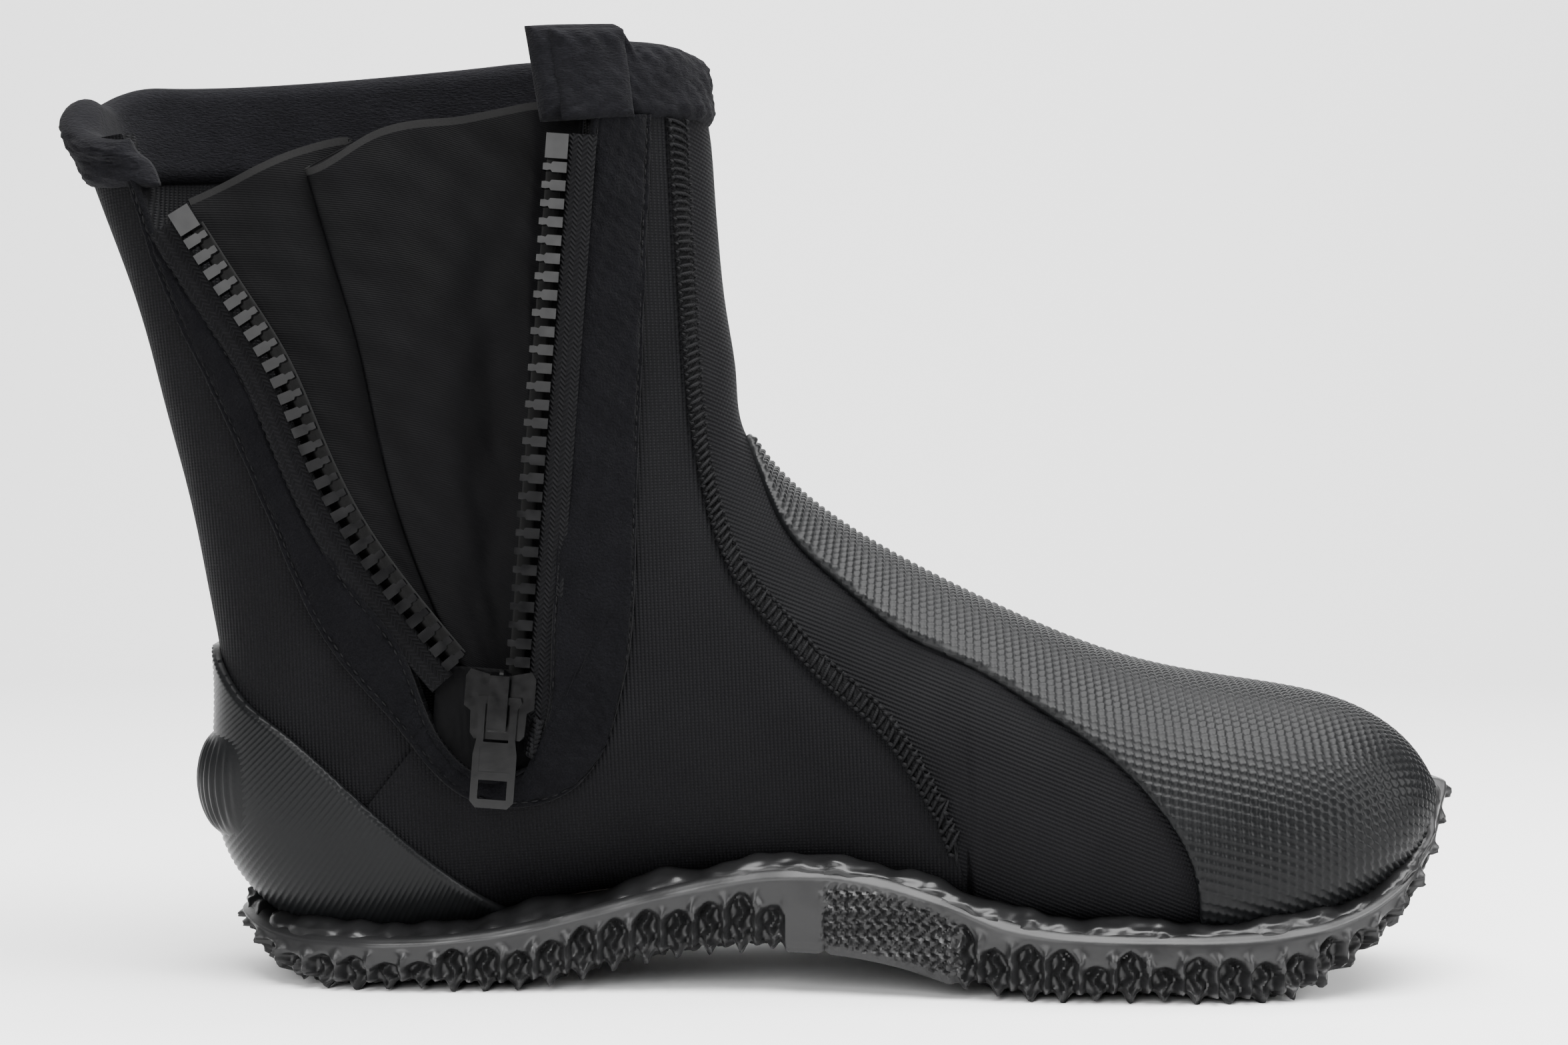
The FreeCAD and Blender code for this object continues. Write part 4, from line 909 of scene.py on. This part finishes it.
def make_seams():
    """The two overlocked seams and the taped back seam."""
    for side, edge, sign in (("medial", medial_seam, 1.0), ("lateral", lateral_seam, -1.0)):
        low, high = beside(edge, -FLATLOCK_HALF), beside(edge, FLATLOCK_HALF)
        if sign < 0:
            low, high = mirror(high), mirror(low)
        band = panels(side + "_flatlock_band", THREAD, [
            dict(span=(SEAM_FOOT + 5, SEAM_TOP - 1.4), low=low, high=high, outer=0.55, inner=-0.4,
                 step=(0.5, 0.6), rounding=0.8, relief=pucker)], sharp=70)
        settle(band, "thread", side + "_flatlock_seam")
        settle(seam_threads(side + "_flatlock_stitches", edge, sign, 2.7, 41), "thread")

    middle = level(math.pi)
    tape = panels("back_seam_band", THREAD, [
        dict(span=(HEEL_TOP - 1, SEAM_TOP - 1.4), low=beside(middle, -TAPE_HALF),
             high=beside(middle, TAPE_HALF), outer=0.5, inner=-0.4, step=(0.5, 0.5), rounding=0.7,
             relief=pucker)], sharp=70)
    settle(tape, "thread", "back_seam_tape")
    stations, angles = along_seam(middle, (HEEL_TOP, SEAM_TOP - 2), 2.6)
    reach = arc_gap(stations, angles, 1.0)
    starts = lifted(stations - 1.0, angles - 2.3 * reach, 0.3)
    stops = lifted(stations + 1.0, angles + 2.3 * reach, 0.3)
    outward = surface(stations, angles)[1]
    settle(stitches("back_seam_stitches", starts, stops, outward, 0.45, 0.9, THREAD), "thread")


def make_edge_stitches():
    """Lines of sewing inside the plush's edges; the rear ones are attached to no body."""
    pitch, dash = 2.3, 0.68
    front_top, rear_span = SEAM_TOP - 2, (FLAP_START + 2.5, SEAM_TOP - 2)
    for name, edge, span, inset, height in (
            ("placket_front", placket_front, (PLACKET_START + 4, front_top), 1.5, 1.25),
            ("placket_bottom", placket_rear, (PLACKET_START + 4, FLAP_START + 2), -1.5, 1.25),
            ("placket_rear", placket_rear, rear_span, -1.5, 1.25),
            ("slot_front", slot_front, (SLOT + 4, front_top), -1.4, 1.3),
            ("slot_rear", slot_rear, rear_span, 1.4, 1.3)):
        inner = beside(edge, inset)
        guide, run = paced(inner, span)
        places = np.arange(0.5, run[-1] - pitch, pitch)
        first, last = (np.interp(places + shift, run, guide) for shift in (0.0, pitch * dash))
        starts, stops = (lifted(station, inner(station), height) for station in (first, last))
        outward = surface(first, inner(first))[1]
        threads = stitches(name + "_stitches", starts, stops, outward, 0.2, 0.12, THREAD)
        if span is rear_span:
            bend_with_flap(threads)
        else:
            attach(threads, "root")


# ---------------------------------------------------------------- sole

FOOTPRINT = [(14.5, 0), (18, -15), (29, -27), (47, -33.5), (75, -34.5), (105, -34), (135, -36.5),
             (165, -42), (195, -48.5), (222, -49.5), (247, -45.5), (265, -36.5), (276, -22), (280, -8),
             (276, 7), (265, 20), (247, 33), (222, 43), (195, 47.5), (165, 46.5), (135, 42),
             (105, 38.5), (75, 36), (47, 33.5), (29, 27), (18, 15)]
SOLE_BOTTOM = [(8, 15), (14, 9), (22, 3), (31, 0), (55, 0), (78, 0), (98, 4.5), (120, 8), (140, 9),
               (160, 6), (182, 0), (212, 0), (243, 0), (255, 5.5), (267, 14), (276, 24.5), (284.9, 40)]
RIB_PITCH = 7.0
POCKET, RIDGE, CREST = 2.5, 1.9, 1.5    # depth of a rib's hollow, height of its middle and of its sides
WALL_OUT, EDGE_OUT = 4.0, 4.6           # footprint to the ribbed wall, and to its lowest edge
TREAD_DEPTH, TREAD_PITCH, TREAD_WIDTH = 2.0, 7.4, 11.0
SHANK, SHANK_WAVES, SHANK_END = (133, 136), (142, 145), (170, 174)      # x where each patch fades in
FOOT_ENDS, TOP_ENDS, BOTTOM_ENDS = [14, 280], (13.5, 279.3), (8.5, 284.5)


def profile(points):
    """z as a function of x along a side-view curve."""
    line = smooth_line(points, 500)
    order = np.argsort(line[:, 0])
    return lambda x: np.interp(x, line[order, 0], line[order, 1])


def footprint_line(per_rib):
    """Points, outward directions and distances round the footprint."""
    closed = FOOTPRINT[-4:] + FOOTPRINT + FOOTPRINT[:5]
    knots = spread_knots(closed)
    start, end = knots[4], knots[4 + len(FOOTPRINT)]
    ribs = int(round((end - start) / RIB_PITCH))
    places = start + (end - start) * np.arange(ribs * per_rib) / (ribs * per_rib)
    tracks = [cubic(knots, column) for column in zip(*closed)]
    here = np.stack([track(places) for track in tracks], -1)
    tangent = np.stack([track(places + 0.3) - track(places - 0.3) for track in tracks], -1)
    outward = np.stack([-tangent[:, 1], tangent[:, 0]], -1)
    outward /= np.linalg.norm(outward, axis=1, keepdims=True)
    flip = np.sum(outward * (here - (140, 0)), axis=1) < 0
    outward[flip] *= -1
    return here, outward, np.arange(len(places)) / per_rib


def on_medial(here):
    """Which footprint points are on the medial side of its middle line."""
    return here[:, 1] < np.interp(here[:, 0], FOOT_ENDS, [0, -8])


def between(x, start, stop):
    return smoothstep(*start, x) * (1 - smoothstep(*stop, x))


def wall_relief(x, rib, share, z, tall):
    """How far the ribs, pockets and fine waves stand out of the sole's wall."""
    phase, number = (rib % 1.0)[None], rib.astype(int)
    waved, plain = between(x, SHANK_WAVES, SHANK_END), between(x, SHANK, SHANK_WAVES)
    side = 0.5 - np.abs(phase - 0.5)
    sway = 0.10 * np.sin(2 * math.pi * z / 5.2 + number * 1.7)
    arch = 0.80 * (1 - 0.34 * np.abs(2 * phase - 1) ** 1.8) * np.minimum(tall[number], 1.03)[None]
    pocket = smoothstep(0.0, 0.10, arch - share) * smoothstep(0.04, 0.16, side)
    ridge = np.exp(-((phase - 0.5 - sway) / 0.13) ** 2) * smoothstep(0.0, 0.2, arch - share)
    crest = np.exp(-((side + 0.5 * sway) / 0.13) ** 2) * (1 - smoothstep(0.6, 0.85, share))
    ribs = -POCKET * pocket + RIDGE * ridge + CREST * crest
    walk = rib[None] * RIB_PITCH
    fine = 0.55 * np.sin(2 * math.pi * (walk + 0.9 * np.sin(2 * math.pi * z / 3.2)) / 2.4)
    fine = fine * smoothstep(0.03, 0.12, share) * (1 - smoothstep(0.78, 0.9, share))
    unrolled = np.stack([walk + 0 * z, z, 0 * z], -1)
    rim = -1.5 * smoothstep(0.86, 1.0, share) ** 2 + 0.35 * wobble(unrolled, 9, 6)
    foot = -1.4 * (1 - smoothstep(0.0, 0.14, share))
    ribbed = (1 - waved) * (1 - plain)
    return ribbed[None] * ribs + waved[None] * fine + rim + foot, ribbed


def tread_rows(here, edge, lip, bottom_of):
    """Rings of the underside, from the wall's foot to the middle, cut with chevrons."""
    medial = on_medial(here)
    middle = np.clip(here[:, 0], 40, 243)
    sides = [here[side][np.argsort(here[side, 0])] for side in (medial, ~medial)]
    spine = np.stack([middle, sum(np.interp(middle, side[:, 0], side[:, 1]) for side in sides) / 2], -1)
    rings = []
    for f in np.linspace(0.985, 0.0, 44) ** 0.9:
        flat = spine + (edge - spine) * f
        chevron = (flat[:, 0] + 2.2 * np.abs(((flat[:, 1] / TREAD_WIDTH) % 1) * 2 - 1)) / TREAD_PITCH
        cut = smoothstep(0.25, 0.75, 0.5 + 0.5 * np.cos(2 * math.pi * chevron)) * smoothstep(0, 0.2, 1 - f)
        floor = bottom_of(np.clip(flat[:, 0], *BOTTOM_ENDS))
        z = floor + TREAD_DEPTH * cut + lip * smoothstep(0.7, 1.0, f)
        rings.append(np.concatenate([flat, z[:, None]], 1))
    return rings


def make_sole():
    """One closed shell: the tread, the ribbed wall, and the rim turned in over the upper."""
    here, outward, rib = footprint_line(14)
    bottom_of = profile(SOLE_BOTTOM)
    top = profile(SOLE_TOP)(np.clip(here[:, 0], *TOP_ENDS))
    bottom = bottom_of(np.clip(here[:, 0] + EDGE_OUT * outward[:, 0], *BOTTOM_ENDS))
    bottom = np.minimum(bottom, top - 5.0)
    tall = np.random.default_rng(5).uniform(0.75, 1.15, int(rib.max()) + 2)
    share = np.linspace(0, 1, 34)[:, None]
    z = bottom[None] + share * (top - bottom)[None]
    relief, ribbed = wall_relief(here[:, 0], rib, share, z, tall)
    jag = 1.0 - np.exp(-((rib % 1.0 - 0.5) / 0.17) ** 2) * tall[rib.astype(int)]
    lip = ribbed * 2.6 * np.clip(jag, 0, 1)
    z = z + lip[None] * (1 - share) ** 3
    wall = np.concatenate([here[None] + outward[None] * (WALL_OUT + relief)[..., None], z[..., None]], -1)
    rim_rows = [np.concatenate([here + outward * depth, (top + drop)[:, None]], 1)
                for depth, drop in ((0.6, 0.3), (-2.5, 0.0), (-7.0, -3.0))]
    grid = np.stack(tread_rows(here, wall[0, :, :2], lip, bottom_of)[::-1] + list(wall) + rim_rows)
    points = grid.reshape(-1, 3)
    points[:, 2] = np.maximum(points[:, 2], 0.0)
    faces = grid_faces(len(grid), grid.shape[1], closed=True)
    sole = make_object("outsole_rubber", points, faces, SOLE, sharp=50, weld=0.02)
    settle(sole, "sole_rubber", "outsole")


BAND_SWELL = 2.6


def make_band():
    """The smooth, uneven rubber fillet that seals the sole's top edge to the upper."""
    here, outward, rib = footprint_line(8)
    top = profile(SOLE_TOP)(np.clip(here[:, 0], *TOP_ENDS))
    walk = np.stack([here[:, 0], here[:, 1], 0 * rib], -1)
    climb = 2.6 + 0.9 * wobble(walk, 18, 54) + 0.4 * wobble(walk, 7, 55)
    drip = 1.6 + 0.7 * np.cos(2 * math.pi * rib) + 0.7 * wobble(walk, 11, 56)
    medial = on_medial(here)
    upper = np.zeros((len(here), 3))
    for side in (medial, ~medial):
        x, z = here[side, 0], (top + climb)[side]
        station, angle = locate(x, z, lateral=side is not medial)
        station = np.where((x > 200) & (station > HEEL / 2), TOE, station)
        angle = angle if side is medial else -angle
        point, normal = surface(station, angle)
        upper[side] = point - normal * 0.3
    lower = np.concatenate([here + outward * 2.2, (top - drip - 0.8)[:, None]], 1)
    share = np.linspace(0, 1, 16)[:, None, None]
    bulge = np.sin(math.pi * share)
    out = np.concatenate([outward, np.full((len(here), 1), 0.35)], 1)
    chord = lower + (upper - lower) * share
    face = chord + out * (bulge ** 0.75 * (BAND_SWELL + 0.5 * wobble(walk, 9, 57)[None, :, None]))
    face = face + out * (0.28 * wobble(face * (1, 1, 3), 6, 58)[..., None] * bulge)
    back = chord - out * (1.2 * bulge)
    grid = np.concatenate([face, back[::-1][1:-1], face[:1]])
    faces = grid_faces(len(grid), grid.shape[1], closed=True)
    band = make_object("foxing_band_rubber", grid, faces, BAND, sharp=60, weld=0.02)
    settle(band, "sole_gloss_rubber", "foxing_band")


def make_insole():
    """The cloth-faced foam bed inside the sole."""
    edge = beside(wall_end, 1.0)
    insole = panels("insole_cloth_face", FOOTBED, [
        dict(span=(14.0, HEEL - 8), low=edge, high=lambda s: 2 * math.pi - edge(s), outer=-2.9,
             inner=-5.9, step=(3.0, 2.0))])
    settle(insole, "insole_foam", "insole")


# ---------------------------------------------------------------- zip

TAPE_FACE, TAPE_WALL = 1.5, 0.65         # depth behind the zip's face, and thickness
HEM_FACE, HEM_WALL = 4.2, 0.5
TAPE_EDGES = 2.4, 8.4                    # from the row's middle line
EDGE_ROUNDING = 0.00035                  # m, on the moulded and cast pieces


def woven_strip(name, line, outward, z_range, width, material, body, face, wall):
    """A tape laid along a tooth row: line gives x, z of the row, and outward the side it goes to."""
    rows = np.linspace(*z_range, int((z_range[1] - z_range[0]) / 0.6))[:, None]
    offset = (width[0] + (width[1] - width[0]) * closer_ends(width[1] - width[0], 0.5, 0.5, (1, 1)))[None]
    x, z = np.broadcast_arrays(*line(rows, outward * offset))
    edge = np.minimum(offset - width[0], width[1] - offset)
    bead = 0.18 * np.exp(-((offset - width[0] - 0.7) / 0.45) ** 2)
    rib = 0.09 * np.sin(2 * math.pi * (rows + np.abs((offset % 2) - 1)) / 1.2)
    front = face - (0.25 + bead + rib) * np.sqrt(1 - (1 - np.clip(edge / 0.5, 0, 1)) ** 2)
    points, faces = slab(zip_point(x, front, z), zip_point(x, np.full_like(x, face + wall), z))
    weave = np.concatenate([np.stack(np.broadcast_arrays(offset, rows, 0.0), -1).reshape(-1, 3)] * 2)
    strip = make_object(name, points, faces, material, weave=weave, sharp=60)
    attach(strip, body)
    return strip


def front_line(place, offset):
    """x, z in the zip's frame beside the straight front row."""
    return 3.2 + offset, place


def make_zip():
    """Cloth tapes and cut hems along both rows, and the looks of the solid pieces kept as they are."""
    for side, line, body, tape_span, hem_span, hem_edge in (
            ("front", front_line, "root", (-9.0, 127.0), (-2.0, 124.0), 2.4),
            ("rear", rear_row, "flap", (13.0, 129.0), (15.0, 126.0), 2.6)):
        tape = woven_strip("zip_tape_" + side + "_cloth", line, 1.0, tape_span, TAPE_EDGES, TAPE, body,
                           TAPE_FACE, TAPE_WALL)
        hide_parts("zip_tape_" + side)
        woven_strip("hem_" + side + "_cloth", line, -1.0, hem_span, (-1.0, hem_edge), FOAM, body,
                    HEM_FACE, HEM_WALL)
    for material, names in (
            (TEETH, "zip_teeth_front zip_teeth_rear zip_top_stop_front zip_top_stop_rear zip_bottom_stop"),
            (METAL, "slider_body slider_bridge pull_tab"), (BOARD, "lasting_board")):
        for name in names.split():
            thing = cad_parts[name]
            thing.data.materials.clear()
            thing.data.materials.append(material)
            bevel = thing.modifiers.new("softer_edges", "BEVEL")
            bevel.width, bevel.segments = EDGE_ROUNDING, 3
            bevel.limit_method = "ANGLE"
            bevel.harden_normals = False


# Across the gusset at its top: share of its length, share of the opening, depth behind the zip.
GUSSET_FOLD = [(0.00, 0.00, 6.0), (0.08, 0.12, 8.0), (0.20, 0.27, 10.6), (0.28, 0.385, 12.6),
               (0.305, 0.395, 12.0), (0.33, 0.375, 10.6), (0.37, 0.305, 8.4), (0.39, 0.30, 7.6),
               (0.415, 0.325, 7.6), (0.50, 0.44, 9.4), (0.62, 0.60, 13.0), (0.74, 0.74, 16.6),
               (0.83, 0.855, 16.4), (0.87, 0.885, 15.0), (0.92, 0.94, 10.5), (1.00, 1.00, 6.0)]
GUSSET_DEPTH, GUSSET_HALF, GUSSET_OPEN = 6.0, 0.6, 88.0     # edges behind the zip, half wall, top's width
GUSSET_RADII = 14, 125          # along the rear row, from the pivot
GUSSET_TOP = [(0.00, 9.0), (0.10, 12.0), (0.20, 14.0), (0.28, 13.5), (0.36, 9.5), (0.40, 8.0), (0.50, 12.0),
              (0.62, 12.0), (0.74, 10.5), (0.87, 8.5), (1.00, 4.0)]


def make_tape_end():
    """The braided end of the front tape's edge cord, beside the foot of the slider."""
    place = np.arange(15)
    side = np.where(place % 2 == 0, 1.0, -1.0)
    middle, z = 8.3 - 0.03 * place ** 1.4, -1.6 - 0.52 * place
    starts = zip_point(middle - 1.3 * side, 0.55, z + 0.7)
    stops = zip_point(middle + 0.9 * side, 0.45, z - 0.6)
    outward = np.repeat(ZIP_TURN @ [[0], [-1], [0]], len(place), 1).T
    braid = stitches("tape_end_braid", starts, stops, outward, 0.62, 0.5, TAPE)
    settle(braid, "zip_tape")


def make_zip_backing():
    """The cloth that closes the foot of the opening behind the slider."""
    (left, right), (low, high), (face, back) = (-15, 11), (-19, 9), (4.6, 5.1)
    x, z = np.broadcast_arrays(np.linspace(left, right, 50)[None], np.linspace(low, high, 50)[:, None])
    edge = np.minimum(np.minimum(x - left, right - x), np.minimum(z - low, high - z))
    face = face - 0.3 * smoothstep(0, 0.8, edge) - 0.12 * wobble(np.stack([x, z, 0 * x], -1), 8, 71)
    points, faces = slab(zip_point(x, face, z), zip_point(x, np.full(x.shape, back), z))
    backing = make_object("zip_foot_backing", points, faces, NYLON, sharp=60)
    settle(backing, "gusset_cloth")


def make_gusset():
    """The folded sheet behind the zip's opening, from the rear row to the front one."""
    shares, widths, depths = zip(*GUSSET_FOLD)
    width_of, depth_of = cubic(shares, widths), cubic(shares, depths)
    rise_of = cubic(*zip(*GUSSET_TOP))
    rows, columns = 90, 220
    across = np.linspace(0, 1, columns)[None]
    up = np.linspace(0, 1, rows)[:, None]
    rear_x, rear_z = rear_row(GUSSET_RADII[0] + (GUSSET_RADII[1] - GUSSET_RADII[0]) * up, 3.2)
    rear_x = np.where(up < 0.02, -5.0, rear_x)         # the lowest edge tucks in behind the slider
    front_x, front_z = 7.6 + 0 * up, -7.0 + (131 + 7.0) * up
    opening = np.clip((front_x - rear_x) / GUSSET_OPEN, 0.05, 1)
    share = width_of(across)
    x = rear_x + (front_x - rear_x) * share
    z = rear_z + (front_z - rear_z) * share + rise_of(across) * up ** 3
    depth = GUSSET_DEPTH + (depth_of(across) - GUSSET_DEPTH) * opening ** 1.15
    flat = np.stack(np.broadcast_arrays(across * 100, up * 140, 0.0), -1)
    depth = depth + 0.5 * opening * wobble(flat * (1, 0.25, 1), 16, 61) + 0.25 * opening * wobble(flat, 9, 62)
    middle = zip_point(x, depth, z)
    normal = np.cross(np.gradient(middle, axis=0), np.gradient(middle, axis=1))
    normal /= np.maximum(np.linalg.norm(normal, axis=-1, keepdims=True), 1e-9)
    points, faces = slab(middle - normal * GUSSET_HALF, middle + normal * GUSSET_HALF)
    along, over = measure(middle, 0), measure(middle, 1)
    weave = np.concatenate([np.stack([over, along, 0 * over], -1).reshape(-1, 3)] * 2)
    quads = 2 * (rows - 1) * (columns - 1)
    which = np.zeros(len(faces))        # 1 on the cut edge along the top
    which[quads + columns - 1:quads + 2 * (columns - 1)] = 1
    which[(rows - 2) * (columns - 1):(rows - 1) * (columns - 1)] = 1
    gusset = make_object("gusset_cloth", points, faces, NYLON, weave=weave, sharp=60, second=(FOAM, which))
    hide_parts("gusset")
    steps = np.diff(middle, axis=0)[:, :-1], np.diff(middle, axis=1)[:-1]
    area = np.linalg.norm(np.cross(*steps), axis=-1).sum() / 1e6
    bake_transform(gusset)
    return gusset, over[-1, -1] / 1000, along[:, -1].max() / 1000, area


# ---------------------------------------------------------------- stage

def make_stage():
    """A pale floor that curves up into a backdrop."""
    floor = bpy.data.meshes.new("floor")
    width, back, height, bend = 3.2, 1.6, 2.6, 0.5
    line = [(-2.4, 0.0), (back - bend, 0.0)]
    line += [(back - bend + bend * math.sin(a), bend - bend * math.cos(a))
             for a in np.linspace(0.1, math.pi / 2, 14)]
    line.append((back, height))
    points = [(x, y, z) for y, z in line for x in (-width, width)]
    faces = [(2 * i, 2 * i + 1, 2 * i + 3, 2 * i + 2) for i in range(len(line) - 1)]
    floor.from_pydata(points, [], faces)
    floor.polygons.foreach_set("use_smooth", [True] * len(floor.polygons))
    look = Look("pale_floor", (0.86, 0.86, 0.86), 0.9, specular=0.1)
    floor.materials.append(look.material)
    thing = bpy.data.objects.new("floor", floor)
    bpy.context.scene.collection.objects.link(thing)


def area_light(name, place, target, size, power):
    light = bpy.data.lights.new(name, "AREA")
    light.shape = "RECTANGLE"
    light.size, light.size_y = size
    light.energy = power
    thing = bpy.data.objects.new(name, light)
    bpy.context.scene.collection.objects.link(thing)
    thing.location = place
    thing.rotation_euler = (Vector(target) - Vector(place)).to_track_quat("-Z", "Y").to_euler()


def make_light_and_camera():
    world = bpy.data.worlds.new("studio")
    bpy.context.scene.world = world
    world.use_nodes = True
    world.node_tree.nodes["Background"].inputs["Color"].default_value = (1, 1, 1, 1)
    world.node_tree.nodes["Background"].inputs["Strength"].default_value = 0.42
    target = (0.08, 0, 0.09)
    area_light("top_softbox", (0.2, -0.25, 0.95), target, (0.9, 0.7), 34)
    area_light("front_softbox", (-0.35, -1.2, 0.6), target, (0.9, 0.7), 17)
    area_light("toe_softbox", (1.05, -0.45, 0.5), target, (0.6, 0.7), 13)
    area_light("backdrop_wash", (0.1, 0.5, 1.6), (0.1, 1.5, 0.4), (2.4, 0.6), 55)
    camera = bpy.data.cameras.new("camera")
    camera.lens, camera.sensor_width = 61.7, 36.0
    camera.clip_start = 0.01
    thing = bpy.data.objects.new("camera", camera)
    bpy.context.scene.collection.objects.link(thing)
    thing.location = (0.0793, -0.620, 0.102)
    thing.rotation_euler = (math.radians(90), 0, 0)
    bpy.context.scene.camera = thing


make_light_and_camera()
make_neoprene()
make_caps()
make_lug()
make_placket()
make_collar()
make_seams()
make_edge_stitches()
make_sole()
make_band()
make_insole()
make_zip()
make_tape_end()
make_zip_backing()
gusset, top_width, gusset_length, gusset_area = make_gusset()
make_stage()
